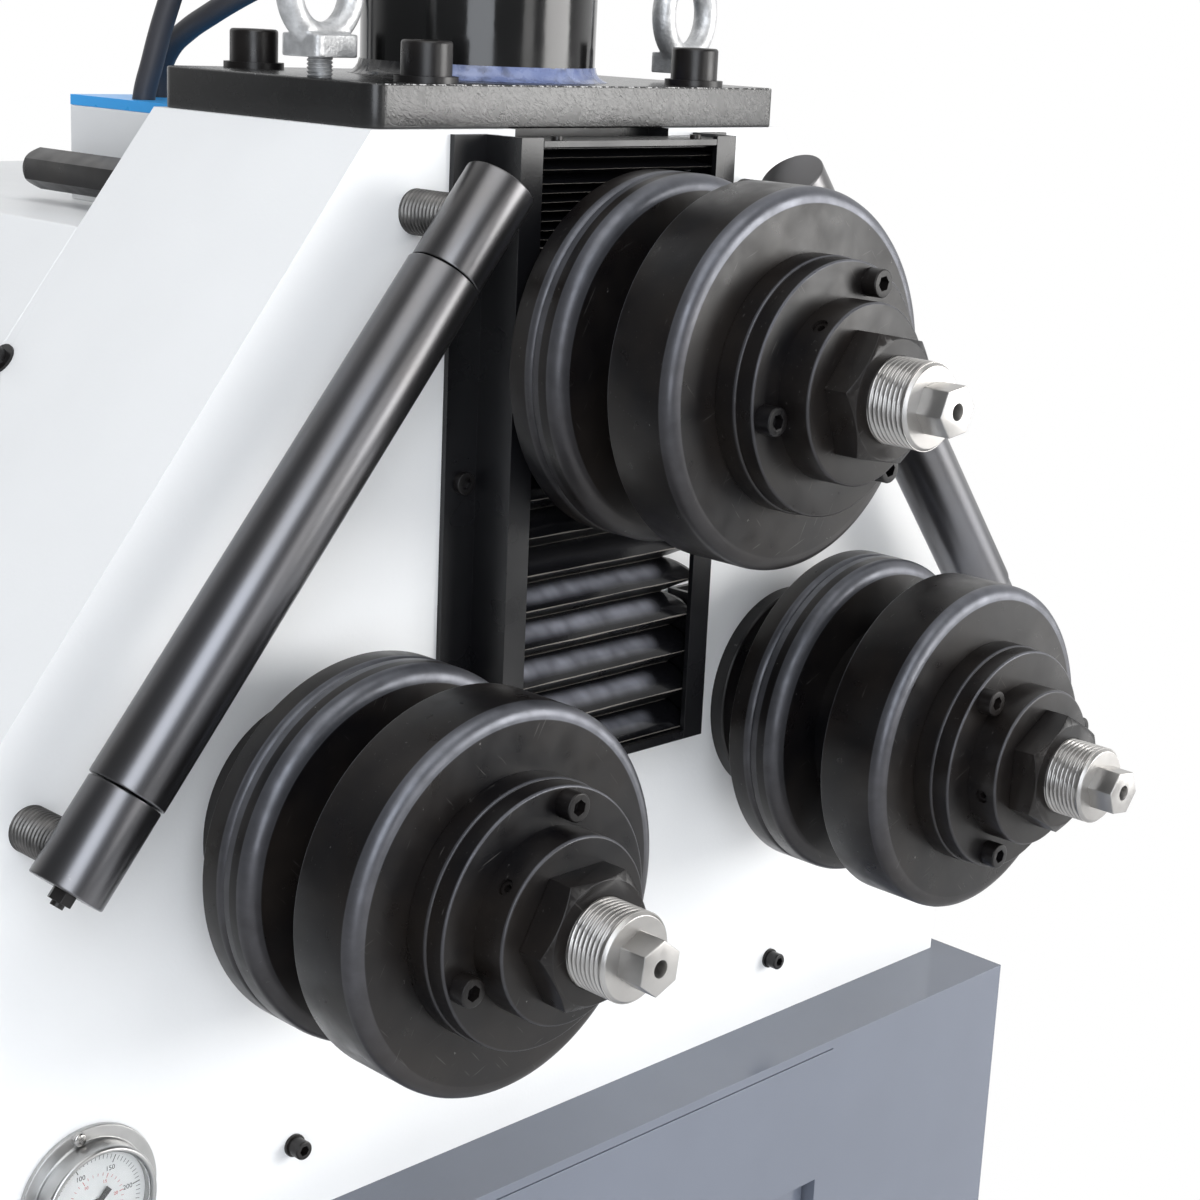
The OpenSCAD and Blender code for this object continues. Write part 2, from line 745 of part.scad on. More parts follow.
rail_screw_x = rail_half + rail_foot_w / 2 - rail_sheet / 4;
rail_screw_z = [20, 149, 290];
rail_screw_d = 11;
rail_screw_h = 4;
panel_screw_x = 176;
panel_screw_drop = 168;
panel_screw_d = 9.5;
panel_screw_h = 8.5;
panel_flange_d = 11.5;
panel_flange_h = 1.5;
bar_screw_x = 47.5;
bar_screw_d = 5.5;
bar_screw_h = 2;
bar_screw_inset = 4;

module left_rail() {
    in_place() color([0.12, 0.12, 0.12]) difference() {
        translate([0, 0, shafts_z - rail_drop]) linear_extrude(rail_l) polygon([
            [-rail_half - rail_foot_w, 0], [-rail_half - rail_foot_w, -rail_sheet],
            [-rail_half, -rail_sheet], [-rail_half, -rail_depth],
            [-rail_half + rail_flange_w, -rail_depth],
            [-rail_half + rail_flange_w, rail_sheet - rail_depth],
            [-rail_half + rail_sheet, rail_sheet - rail_depth], [-rail_half + rail_sheet, 0]]);
        for (z = rail_screw_z) facing_back(-rail_screw_x, shafts_z + z, -rail_sheet - overrun)
            cylinder(d = screw_shank_d(rail_screw_d), h = rail_sheet + 2 * overrun);
    }
}

// The right rail's web and foot are open in the middle, but for one short land, so that the panel
// shows past the bellows there; each pair below is where a closed length starts and ends
land_h = 22;
web_open_low = 74;
web_open_high = 200;
web_spans = [[-rail_drop, web_open_low], [rail_screw_z[1] - land_h / 2, rail_screw_z[1] + land_h / 2],
    [web_open_high, rail_l - rail_drop]];
module right_rail() {
    in_place() color([0.12, 0.12, 0.12]) difference() {
        union() {
            translate([rail_half - rail_flange_w, -rail_depth, shafts_z - rail_drop])
                cube([rail_flange_w, rail_sheet, rail_l]);
            for (span = web_spans) translate([rail_half - rail_sheet, -rail_depth, shafts_z + span[0]]) {
                cube([rail_sheet, rail_depth, span[1] - span[0]]);
                translate([0, rail_depth - rail_sheet, 0])
                    cube([rail_foot_w + rail_sheet, rail_sheet, span[1] - span[0]]);
            }
        }
        for (z = rail_screw_z) facing_back(rail_screw_x, shafts_z + z, -rail_sheet - overrun)
            cylinder(d = screw_shank_d(rail_screw_d), h = rail_sheet + 2 * overrun);
    }
}

bar_half = rail_half - rail_sheet - free_gap;
lip_half = rail_half - rail_flange_w - free_gap / 2;
bottom_bar_z = shafts_z - rail_drop;
top_bar_z = bottom_bar_z + rail_l - bar_drop - top_bar_t;

module bellows_bars() {
    bars = [[bottom_bar_z, bar_t], [top_bar_z, top_bar_t]];
    in_place() color([0.2, 0.2, 0.2]) for (bar = bars) difference() {
        union() {
            translate([-bar_half, rail_sheet + free_gap / 2 - rail_depth, bar[0]])
                cube([2 * bar_half, rail_depth - rail_sheet - free_gap / 2, bar[1]]);
            translate([-lip_half, -rail_depth, bar[0]]) cube([2 * lip_half, rail_depth / 2, bar[1]]);
        }
        if (bar[0] == top_bar_z) for (s = [-1, 1])
            translate([s * bar_screw_x, -rail_depth + bar_screw_inset, top_bar_z + top_bar_t / 2])
                cylinder(d = screw_shank_d(bar_screw_d), h = top_bar_t);
    }
}

// Pleated band between two heights: sharp crests in front, and valleys that draw in at both ends,
// so that each crest ends in a point
band_w = 2;
bellows_gap = 0.4;
valley_inset = 14;
module bellows(low, high) {
    pitch = (high - low) / pleats;
    front = rail_sheet + 2 * free_gap - rail_depth;
    back = front + pleat_depth;
    path = [for (i = [0:2 * pleats]) [i % 2 == 0 ? front : back, low + pitch * i / 2]];
    intersection() {
        translate([-bar_half, 0, 0]) rotate([90, 0, 90]) linear_extrude(2 * bar_half)
            polygon(concat(path, [for (i = [2 * pleats:-1:0]) path[i] + [band_w, 0]]));
        translate([0, 0, low]) linear_extrude(high - low) polygon([
            [-bar_half, front], [bar_half, front], [bar_half - valley_inset, back + band_w],
            [valley_inset - bar_half, back + band_w]]);
    }
}
module upper_bellows() {
    in_place() color([0.15, 0.15, 0.17])
        bellows(upper_z + slide_plate_h / 2 + bellows_gap, top_bar_z - bellows_gap);
}
module lower_bellows() {
    in_place() color([0.15, 0.15, 0.17])
        bellows(bottom_bar_z + bar_t + bellows_gap, upper_z - slide_plate_h / 2 - bellows_gap);
}

// Screws of the rails, the top bar, the front panel and the head's sloped sides
slope_screw_rise = 196.5;
slope_washer_d = 16;
module frame_screws() {
    in_place() color([0.1, 0.1, 0.1]) {
        for (s = [-1, 1], z = rail_screw_z) facing_front(s * rail_screw_x, shafts_z + z, rail_sheet)
            socket_screw(rail_screw_d, rail_screw_h, rail_sheet + head_wall);
        for (s = [-1, 1]) {
            translate([s * bar_screw_x, -rail_depth + bar_screw_inset, top_bar_z + top_bar_t])
                socket_screw(bar_screw_d, bar_screw_h, top_bar_t / 3);
            facing_front(s * panel_screw_x, shafts_z - panel_screw_drop) panel_screw(head_wall);
            on_shoulder(s, slope_screw_rise, head_d - head_wall / 2) {
                panel_screw(head_wall - edge);
                tube(slope_washer_d, panel_screw_d - edge, panel_flange_h);
            }
        }
    }
}

// Socket head screw with a thin flange under its head
module panel_screw(shank_l) {
    socket_screw(panel_screw_d, panel_screw_h, shank_l);
    tube(panel_flange_d, panel_screw_d - edge, panel_flange_h);
}

// Places a piece drawn along +Z square on the sloped side of the head
module on_shoulder(s, rise, y) {
    translate([s * half_width(rise), y, shafts_z + rise])
        rotate([0, s * (90 - atan(shoulder_slope)), 0]) children();
}

// Rear housing: the head's own outline cut off lower down, open to the head and the base
module rear_housing() {
    in_place() color("whitesmoke") difference() {
        head_prism(head_d, rear_back - head_d, -foot_to_shafts, rear_top);
        head_prism(head_d - overrun, rear_back - head_d - rear_sheet + overrun,
            -foot_to_shafts - overrun, rear_top - rear_sheet, rear_sheet);
    }
}

// Six-sided bar that stands out of the head's back, with a chamfered nose
rear_bar_x = 128.5;
rear_bar_rise = 274.5;
rear_nose = 8;
rear_nose_r = 4.5;
module rear_bar() {
    r = rear_bar_af / 2 / cos(30);
    in_place() color([0.15, 0.15, 0.15]) facing_back(-rear_bar_x, shafts_z + rear_bar_rise, head_d)
        intersection() {
            rotate([0, 0, 30]) hexagon(rear_bar_af, rear_bar_l);
            rotate_extrude() polygon([[0, 0], [r + edge, 0], [r + edge, rear_bar_l - rear_nose - edge],
                [r - rear_nose_r, rear_bar_l], [0, rear_bar_l]]);
        }
}

// Valve box: a sheet box that stands on the rear housing, with a lid
module valve_box() {
    in_place() color("whitesmoke") difference() {
        translate([-valve_box_w / 2, head_d + edge, rear_top_z])
            cube([valve_box_w, valve_box_d, valve_box_h]);
        translate([rear_sheet - valve_box_w / 2, head_d + edge + rear_sheet, rear_top_z + rear_sheet])
            cube([valve_box_w - 2 * rear_sheet, valve_box_d - 2 * rear_sheet, valve_box_h]);
    }
}
module valve_box_lid() {
    in_place() color("dodgerblue") difference() {
        translate([-valve_box_w / 2, head_d + edge, lid_z]) cube([valve_box_w, valve_box_d, lid_t]);
        for (p = [cap_route[0], gland_route[0]]) translate([p[0], p[1], lid_z - overrun])
            cylinder(d = hose_d + 2 * hose_gap, h = lid_t + 2 * overrun);
    }
}

// Top plate with its right front corner left square, its screws and the eye bolts
module plate_screw_places() {
    for (x = [-plate_screw_x, plate_screw_x],
         y = [plate_setback + plate_screw_inset, head_d - plate_screw_inset])
        translate([x, y, 0]) children();
}
module plate_screw_holes(z, h) {
    plate_screw_places() translate([0, 0, z]) cylinder(d = screw_shank_d(plate_screw_d), h = h);
}
eye_thread_d = 12;
eye_lift = [9.2, 4.8];
eye_turn = [9, 11];
eye_sink = 14;
module top_plate() {
    in_place() color([0.13, 0.13, 0.13]) difference() {
        translate([-plate_w / 2, plate_setback, head_top_z]) {
            rounded_plate(plate_w, head_d - plate_setback, plate_t, plate_r);
            translate([plate_w - plate_r - edge, 0, 0]) cube([plate_r + edge, plate_r + edge, plate_t]);
        }
        plate_screw_holes(head_top_z - overrun, plate_t + 2 * overrun);
        translate([0, cyl_y, head_top_z - overrun])
            cylinder(d = rod_d + 2 * rod_clearance, h = plate_t + 2 * overrun);
        for (s = [-1, 1]) translate([s * eye_x, eye_y, plate_top_z - eye_sink])
            cylinder(d = eye_thread_d + 2 * seat_gap, h = eye_sink + overrun);
    }
}
washer_t = 3;
module plate_screws() {
    in_place() color([0.1, 0.1, 0.1]) plate_screw_places() translate([0, 0, plate_top_z]) {
        tube(plate_washer_d, screw_shank_d(plate_screw_d), washer_t);
        translate([0, 0, washer_t])
            socket_screw(plate_screw_d, plate_screw_h, washer_t + plate_t + head_wall);
    }
}
eye_neck_h = 10.5;
eye_neck_d = 30;
eye_root_share = 1 / 3;
module eye_bolt(lift) {
    ring_r = (eye_ring_d - eye_wire_d) / 2;
    translate([0, 0, edge - eye_sink]) cylinder(d = eye_thread_d, h = eye_sink + lift);
    translate([0, 0, lift]) {
        cylinder(d = eye_neck_d, h = eye_neck_h - edge);
        translate([0, 0, eye_neck_h - edge])
            cylinder(d1 = eye_neck_d, d2 = eye_neck_d - 2 * edge, h = edge);
        translate([0, 0, eye_ring_d / 2 + eye_neck_h * eye_root_share]) rotate([90, 0, 0])
            rotate_extrude() translate([ring_r, 0]) circle(d = eye_wire_d);
    }
}
module eye_bolts() {
    in_place() color("silver") for (k = [0, 1])
        translate([sides[k] * eye_x, eye_y, plate_top_z]) rotate([0, 0, eye_turn[k]])
            eye_bolt(eye_lift[k]);
}

// Hydraulic cylinder: barrel with the gland at its foot and a weld around it, and a cap
module cylinder_barrel() {
    in_place() color([0.08, 0.08, 0.08]) difference() {
        translate([0, cyl_y, plate_top_z]) {
            cylinder(d = cyl_d, h = cyl_l);
            cylinder(d1 = cyl_d + 2 * weld_w, d2 = cyl_d, h = weld_h);
        }
        translate([0, cyl_y, plate_top_z + gland_w]) cylinder(d = cyl_bore_d, h = cyl_l);
        translate([0, cyl_y, plate_top_z - overrun])
            cylinder(d = rod_d + 2 * run_gap, h = gland_w + 2 * overrun);
        port(gland_route, cyl_d);
    }
}
module cylinder_cap() {
    in_place() color([0.08, 0.08, 0.08]) difference() {
        translate([0, cyl_y, cyl_top_z]) {
            cylinder(d = cyl_d, h = cap_w - cap_chamfer);
            translate([0, 0, cap_w - cap_chamfer])
                cylinder(d1 = cyl_d, d2 = cyl_d - 2 * cap_chamfer, h = cap_chamfer);
            translate([0, 0, -cap_w / 3]) cylinder(d = cyl_bore_d - 2 * seat_gap, h = cap_w / 3 + edge);
        }
        port(cap_route, cyl_d);
    }
}
// Hole for a hose's fitting, from a little inside the cylinder's wall outwards
function wall_y(route) = cyl_y + sqrt(pow(cyl_d / 2, 2) - pow(last_of(route)[0], 2));
module port(route, l) {
    facing_back(last_of(route)[0], shafts_z + last_of(route)[2], wall_y(route) - port_depth)
        cylinder(d = port_d + 2 * seat_gap, h = l);
}

// Side guide rollers

guide_lean = atan((guide_low_x - guide_top_x) / (guide_top_z - guide_low_z));
guide_span = norm([guide_low_x - guide_top_x, guide_top_z - guide_low_z]);
joint_gap = 0.8;
block_round = 2;
axle_grip = 15;
stud_pitch = 2.5;
stud_groove = 1.2;
lock_nut_af = 10;
lock_nut_w = 5;
lock_screw_d = 6;

// Frame of a guide roller: origin on the axis at the lower stud, +Z towards the upper stud
module guide_place(s) {
    translate([s * guide_low_x, -guide_f, shafts_z + guide_low_z])
        rotate([0, -s * guide_lean, 0]) children();
}
module stud_places(s) {
    guide_place(s) for (z = [0, guide_span]) translate([0, 0, z]) rotate([-90, 0, 0]) children();
}
module stud_holes(s) {
    stud_places(s) cylinder(d = stud_d + 2 * seat_gap, h = guide_f + head_wall + overrun);
}
// Each stud shows its thread between the block and the panel, and is plain inside them
module guide_studs() {
    r = stud_d / 2;
    turns = floor((guide_f - block_d / 2) / stud_pitch);
    in_place() color([0.3, 0.3, 0.3]) for (s = [-1, 1]) stud_places(s)
        rotate_extrude() polygon(concat([[0, edge], [r, edge]],
            [for (i = [turns - 1:-1:0], k = [1, 0.5]) [r - (k == 1 ? 0 : stud_groove),
                guide_f - (i + k) * stud_pitch]],
            [[r, guide_f], [r, guide_f + head_wall], [0, guide_f + head_wall]]));
}
module guide_block(l) {
    rotate_extrude() polygon(concat([[0, 0]], back_corner(block_d / 2, 0, block_round),
        [[block_d / 2, l], [0, l]]));
}
module guide_blocks() {
    in_place() color([0.14, 0.14, 0.15]) for (s = [-1, 1]) difference() {
        guide_place(s) {
            translate([0, 0, -low_stud_inset]) guide_block(block_l - stud_inset + low_stud_inset);
            translate([0, 0, guide_span + stud_inset]) rotate([180, 0, 0]) guide_block(block_l);
        }
        stud_holes(s);
        guide_place(s) {
            translate([0, 0, block_l - stud_inset - axle_grip])
                cylinder(d = axle_d + 2 * seat_gap, h = guide_span - 2 * (block_l - stud_inset - axle_grip));
            translate([0, 0, -low_stud_inset - overrun])
                cylinder(d = lock_screw_d + 2 * seat_gap, h = low_stud_inset);
        }
    }
}
module guide_axles() {
    in_place() color("silver") for (s = [-1, 1]) guide_place(s) {
        translate([0, 0, block_l - stud_inset - axle_grip])
            cylinder(d = axle_d, h = guide_span - 2 * (block_l - stud_inset - axle_grip));
        translate([0, 0, -low_stud_inset - lock_nut_w]) hexagon(lock_nut_af, lock_nut_w);
        translate([0, 0, -low_stud_inset - lock_nut_w - 2 * edge])
            cylinder(d = lock_screw_d, h = low_stud_inset + lock_nut_w + 2 * edge - stud_d / 2 - seat_gap);
    }
}
module guide_sleeve(s) {
    low = block_l - stud_inset + joint_gap;
    in_place() color([0.2, 0.2, 0.22]) guide_place(s) translate([0, 0, low]) difference() {
        rotate_extrude() polygon([
            [axle_d / 2 + run_gap, 0], [sleeve_d / 2 - edge, 0], [sleeve_d / 2, edge],
            [sleeve_d / 2, guide_span - 2 * low - edge], [sleeve_d / 2 - edge, guide_span - 2 * low],
            [axle_d / 2 + run_gap, guide_span - 2 * low]]);
    }
}
module left_guide_sleeve() { guide_sleeve(-1); }
module right_guide_sleeve() { guide_sleeve(1); }

// Pressure gauge
gauge_flange_t = 2.5;
gauge_rim_w = 3;
gauge_rim_round = 2.4;
gauge_dial_t = 1;
gauge_dial_f = 6.5;
gauge_glass_t = 1.2;
gauge_stem_d = 30;
gauge_screw_d = 7;
gauge_screw_h = 3;
gauge_screw_shift = 0.2;
gauge_screw_r = (gauge_flange_d + gauge_case_d) / 4 + gauge_screw_shift;
gauge_screw_turns = [100, 220, 340];
needle_l = 19;
needle_tail = 9;
needle_w = 3;
needle_t = 0.8;
needle_rest = 225;
inner_gauge_d = gauge_case_d - 2 * gauge_rim_w;
module gauge_place(f) {
    in_place() facing_front(-gauge_x, shafts_z - gauge_drop, f) children();
}
module gauge_case() {
    gauge_place(0) color("silver") {
        difference() {
            union() {
                cylinder(d = gauge_flange_d, h = gauge_flange_t - edge);
                translate([0, 0, gauge_flange_t - edge])
                    cylinder(d1 = gauge_flange_d, d2 = gauge_flange_d - 2 * edge, h = edge);
                rotate_extrude() polygon(concat([[0, 0], [gauge_case_d / 2, 0]],
                    front_corner(gauge_case_d / 2, gauge_case_w, gauge_rim_round), [[0, gauge_case_w]]));
                translate([0, 0, -head_wall]) cylinder(d = gauge_stem_d, h = head_wall + edge);
            }
            translate([0, 0, gauge_dial_f - gauge_dial_t]) cylinder(d = inner_gauge_d, h = gauge_case_w);
            gauge_screw_places() translate([0, 0, -overrun])
                cylinder(d = screw_shank_d(gauge_screw_d), h = gauge_flange_t + 2 * overrun);
        }
        gauge_screw_places() translate([0, 0, gauge_flange_t])
            socket_screw(gauge_screw_d, gauge_screw_h, gauge_flange_t);
    }
}
module gauge_screw_places() {
    for (a = gauge_screw_turns) rotate([0, 0, a]) translate([gauge_screw_r, 0, 0]) children();
}
needle_pin_d = 2.4;
needle_pin_h = 2.2;
module gauge_dial() {
    gauge_place(gauge_dial_f - gauge_dial_t) color("white") {
        cylinder(d = inner_gauge_d - 2 * seat_gap, h = gauge_dial_t);
        cylinder(d = needle_pin_d, h = gauge_dial_t + needle_pin_h);
    }
}
module gauge_needle() {
    gauge_place(gauge_dial_f + needle_t) color("black") rotate([0, 0, needle_rest]) difference() {
        union() {
            linear_extrude(needle_t) polygon([
                [-needle_tail, -needle_w / 2], [0, -needle_w / 3], [needle_l, -needle_w / 12],
                [needle_l, needle_w / 12], [0, needle_w / 3], [-needle_tail, needle_w / 2]]);
            cylinder(d = 2 * needle_w, h = needle_t);
        }
        translate([0, 0, -overrun]) cylinder(d = needle_pin_d + 2 * run_gap, h = needle_t + 2 * overrun);
    }
}
module gauge_glass() {
    gauge_place(gauge_case_w - gauge_rim_w) color([0.8, 0.9, 1, 0.3])
        cylinder(d = inner_gauge_d - 2 * seat_gap, h = gauge_glass_t);
}

// Gear train and gear motor behind the head

function involute_turn(angle) = tan(angle) * 180 / PI - angle;
function flank_turn(teeth, r) = let (base = gear_module * teeth / 2 * cos(pressure_angle))
    90 / teeth * (1 - gear_backlash_share) + involute_turn(pressure_angle)
    - involute_turn(acos(min(1, base / max(r, base))));
module gear_outline(teeth) {
    tip = gear_module * (teeth / 2 + tip_share);
    root = gear_module * (teeth / 2 - root_share);
    radii = [for (i = [0:flank_steps]) root + (tip - root) * i / flank_steps];
    polygon([for (k = [0:teeth - 1], side = [-1, 1], i = [0:flank_steps])
        let (r = radii[side < 0 ? i : flank_steps - i], a = 360 * k / teeth + side * flank_turn(teeth, r))
        [r * cos(a), r * sin(a)]]);
}
module spur_gear(teeth, bore) {
    rim_d = gear_module * (teeth - 2 * root_share) - 2 * gear_rim;
    difference() {
        linear_extrude(gear_w) gear_outline(teeth);
        translate([0, 0, -overrun]) cylinder(d = bore, h = gear_w + 2 * overrun);
        if (rim_d > gear_hub_d + gear_rim) for (z = [-overrun, gear_w - gear_recess])
            translate([0, 0, z]) tube(rim_d, gear_hub_d, gear_recess + overrun);
    }
}
module left_gear() {
    in_place() color("gray") facing_back(-shaft_half, shafts_z, gear_y) spur_gear(gear_teeth, 2 * bore_r);
}
module right_gear() {
    in_place() color("gray") facing_back(shaft_half, shafts_z, gear_y) spur_gear(gear_teeth, 2 * bore_r);
}
pinion_shaft_d = 40;
gearbox_gap = 14;
gearbox_y = gear_y + gear_w + gearbox_gap;
gearbox_boss = 6;
gearbox_w = 150;
gearbox_h = 170;
gearbox_d = 86;
pedestal_w = 130;
motor_rib = 4;
module drive_pinion() {
    in_place() color("gray") facing_back(0, shafts_z, gear_y) {
        rotate([0, 0, 180 / pinion_teeth]) spur_gear(pinion_teeth, pinion_shaft_d - edge);
        translate([0, 0, -gear_recess / 2])
            cylinder(d = pinion_shaft_d, h = gearbox_y + gearbox_d / 2 - gear_y);
    }
}
// Ribs and end hood of a motor that stands along +Z
rib_count = 7;
rib_first_share = 0.1;
rib_step_share = 0.12;
rib_share = 0.05;
hood_share = 0.14;
module ribs(d, l) {
    for (i = [0:rib_count - 1]) translate([0, 0, l * (rib_first_share + rib_step_share * i)])
        cylinder(d = d, h = l * rib_share);
    translate([0, 0, l * (1 - hood_share)]) cylinder(d = d, h = l * hood_share);
}
module gear_motor() {
    in_place() color("slategray") {
        difference() {
            union() {
                translate([-gearbox_w / 2, gearbox_y, shafts_z - gearbox_h / 2])
                    cube([gearbox_w, gearbox_d, gearbox_h]);
                translate([-pedestal_w / 2, gearbox_y + edge, base_h])
                    cube([pedestal_w, gearbox_d - 2 * edge, shafts_z - base_h]);
                facing_back(0, shafts_z, gearbox_y - gearbox_boss)
                    cylinder(d = 2 * pinion_shaft_d, h = gearbox_boss + edge);
            }
            facing_back(0, shafts_z, gearbox_y - gearbox_boss - overrun)
                cylinder(d = pinion_shaft_d + 2 * run_gap, h = gearbox_d / 2 + gearbox_boss + 2 * overrun);
        }
        facing_back(0, shafts_z, gearbox_y + gearbox_d - edge) {
            cylinder(d = motor_d - 2 * motor_rib, h = motor_length);
            ribs(motor_d, motor_length);
        }
        translate([-motor_d / 4, gearbox_y + gearbox_d + motor_length / 4,
            shafts_z + motor_d / 2 - 3 * motor_rib])
            cube([motor_d / 2, motor_length / 2, motor_d / 4]);
    }
}

// Base cabinet, its door and latch, and the hydraulic unit in it

module base_cabinet() {
    depth = base_front + base_back;
    in_place() color("slategray") {
        difference() {
            translate([-base_w / 2, -base_front, foot_h]) cube([base_w, depth, base_h - foot_h]);
            translate([base_sheet - base_w / 2, base_sheet - base_front, foot_h + base_sheet])
                cube([base_w - 2 * base_sheet, depth - 2 * base_sheet,
                    base_h - foot_h - base_sheet - base_top_t]);
            translate([-door_w / 2, -base_front - overrun, door_low])
                cube([door_w, base_sheet + 2 * overrun, door_h]);
            for (i = [0:vent_count - 1])
                translate([-vent_w / 2, base_back - base_sheet - overrun, vent_z + i * vent_pitch])
                    cube([vent_w, base_sheet + 2 * overrun, vent_h]);
            translate([-base_w / 2 - overrun, -base_front - overrun, base_h - seam_drop - seam_w])
                cube([base_w / 2 + seam_end + overrun, seam_depth + overrun, seam_w]);
        }
        door_frame();
        foot_rails();
        door_lugs();
    }
}
// Folded edge around the door opening
module door_frame() {
    difference() {
        translate([-door_w / 2 - base_sheet, -base_front + edge, door_low - base_sheet])
            cube([door_w + 2 * base_sheet, return_depth - edge, door_h + 2 * base_sheet]);
        translate([-door_w / 2, -base_front - overrun, door_low])
            cube([door_w, return_depth + 2 * overrun, door_h]);
    }
}
module foot_rails() {
    for (s = [-1, 1]) difference() {
        translate([s * foot_x - foot_w / 2, -base_front - foot_out, 0])
            cube([foot_w, base_front + back_reach + foot_out, foot_h]);
        for (y = [anchor_y_front, anchor_y_back]) translate([s * foot_x, y, -overrun])
            cylinder(d = anchor_d, h = foot_h + 2 * overrun);
    }
}
// Hinge pins with their lugs, at the left of the door opening
hinge_x = -door_w / 2 + door_gap;
hinge_y = -base_front - hinge_d / 2 - free_gap;
hinge_z = [door_low + door_h * hinge_inset_share, door_low + door_h * (1 - hinge_inset_share) - hinge_l];
lug_h = 12;
module door_lugs() {
    for (z = hinge_z) {
        for (k = [-lug_h - free_gap, hinge_l + free_gap]) translate([hinge_x, hinge_y, z + k]) {
            cylinder(d = hinge_d, h = lug_h);
            translate([-hinge_d, 0, 0]) cube([hinge_d, hinge_d / 2 + free_gap + edge, lug_h]);
        }
        translate([hinge_x, hinge_y, z - lug_h]) cylinder(d = hinge_pin_d, h = hinge_l + 2 * lug_h);
    }
}
module cabinet_door() {
    leaf_w = door_w - 2 * door_gap;
    leaf_y = door_recess - base_front;
    in_place() color("slategray") {
        difference() {
            translate([-leaf_w / 2, leaf_y, door_low + door_gap])
                cube([leaf_w, door_fold, door_h - 2 * door_gap]);
            translate([door_sheet - leaf_w / 2, leaf_y + door_sheet, door_low + door_gap + door_sheet])
                cube([leaf_w - 2 * door_sheet, door_fold, door_h - 2 * door_gap - 2 * door_sheet]);
            facing_back(latch_x, latch_z, leaf_y - overrun)
                cylinder(d = latch_d + 2 * run_gap, h = door_sheet + 2 * overrun);
        }
        for (z = hinge_z) difference() {
            union() {
                translate([hinge_x, hinge_y, z]) cylinder(d = hinge_d, h = hinge_l);
                translate([hinge_x, hinge_y, z]) cube([hinge_d / 2, leaf_y - hinge_y + door_sheet, hinge_l]);
            }
            translate([hinge_x, hinge_y, z - overrun])
                cylinder(d = hinge_pin_d + 2 * run_gap, h = hinge_l + 2 * overrun);
        }
    }
}
// Quarter-turn latch: a knob with a wing, and a cam that lies behind the door frame when closed
latch_d = 18;
latch_inset = 26;
latch_x = door_w / 2 - door_gap - latch_inset;
latch_z = door_low + door_h / 2;
cam_w = 16;
cam_t = 3;
cam_reach = 34;
cam_gap = 1.5;
knob_d = 34;
knob_h = 6;
wing_w = 9;
module door_latch() {
    leaf_y = door_recess - base_front;
    stem_l = door_fold + cam_gap + cam_t;
    in_place() color([0.1, 0.1, 0.1]) facing_back(latch_x, latch_z, leaf_y) {
        translate([0, 0, -knob_h]) cylinder(d = latch_d, h = knob_h + stem_l);
        translate([0, 0, -knob_h - free_gap]) cylinder(d = knob_d, h = knob_h);
        translate([-wing_w / 2, -knob_d / 2 + edge, -3 * knob_h])
            cube([wing_w, knob_d - 2 * edge, 2 * knob_h + edge]);
        translate([0, -cam_w / 2, stem_l - cam_t]) cube([cam_reach, cam_w, cam_t]);
    }
}
tank_w = 420;
tank_d = 280;
tank_h = 210;
tank_y = 150;
tank_x = 60;
tank_r = 20;
tank_lid_t = 6;
filler_d = 50;
filler_h = 45;
filler_inset = 50;
module hydraulic_tank() {
    in_place() color("slategray") translate([tank_x - tank_w / 2, tank_y, foot_h + base_sheet]) {
        rounded_plate(tank_w, tank_d, tank_h, tank_r);
        translate([-tank_lid_t, -tank_lid_t, tank_h])
            rounded_plate(tank_w + 2 * tank_lid_t, tank_d + 2 * tank_lid_t, tank_lid_t, tank_r + tank_lid_t);
        translate([filler_inset, tank_d - filler_inset, tank_h]) cylinder(d = filler_d, h = filler_h);
    }
}
deck_z = foot_h + base_sheet + tank_h + tank_lid_t;
pump_motor_d = 150;
pump_motor_length = 200;
pump_flange_d = 172;
pump_flange_t = 14;
pump_shift = 90;
manifold_w = 90;
manifold_d = 110;
manifold_h = 70;
solenoid_w = 32;
solenoid_h = 62;
module pump_unit() {
    in_place() color("dimgray") translate([tank_x, tank_y + tank_d / 2, deck_z]) {
        translate([pump_shift, 0, 0]) {
            cylinder(d = pump_flange_d, h = pump_flange_t);
            cylinder(d = pump_motor_d - 2 * motor_rib, h = pump_motor_length);
            ribs(pump_motor_d, pump_motor_length);
        }
        translate([-pump_shift - manifold_w / 2, -manifold_d / 2, 0]) {
            cube([manifold_w, manifold_d, manifold_h]);
            for (k = [0, 1]) translate([manifold_w / 8, manifold_d / 8 + k * manifold_d / 2, manifold_h])
                cube([manifold_w * 3 / 4, solenoid_w, solenoid_h]);
        }
    }
}

// Hoses and their fittings

// Ring of points around a route point, square to the route there
function route_way(route, i) = let (last = len(route) - 1)
    route[min(i + 1, last)] - route[max(i - 1, 0)];
function unit(v) = v / norm(v);
function ring_points(p, way, r, sides) = let (
        w = unit(way), u = unit(cross(w, [1, 0, 0])), v = cross(w, u))
    [for (k = [0:sides - 1]) p + r * (cos(360 * k / sides) * u + sin(360 * k / sides) * v)];
hose_sides = 16;
hose_gap = 0.5;
module hose(route) {
    n = len(route);
    points = [for (i = [0:n - 1]) each ring_points(route[i], route_way(route, i), hose_d / 2, hose_sides)];
    walls = [for (i = [0:n - 2], k = [0:hose_sides - 1]) let (
        a = i * hose_sides + k, b = i * hose_sides + (k + 1) % hose_sides)
        [a, b, b + hose_sides, a + hose_sides]];
    ends = [[for (k = [hose_sides - 1:-1:0]) k], [for (k = [0:hose_sides - 1]) (n - 1) * hose_sides + k]];
    in_place() color([0.2, 0.2, 0.21]) translate([0, 0, shafts_z]) polyhedron(points, concat(walls, ends));
}
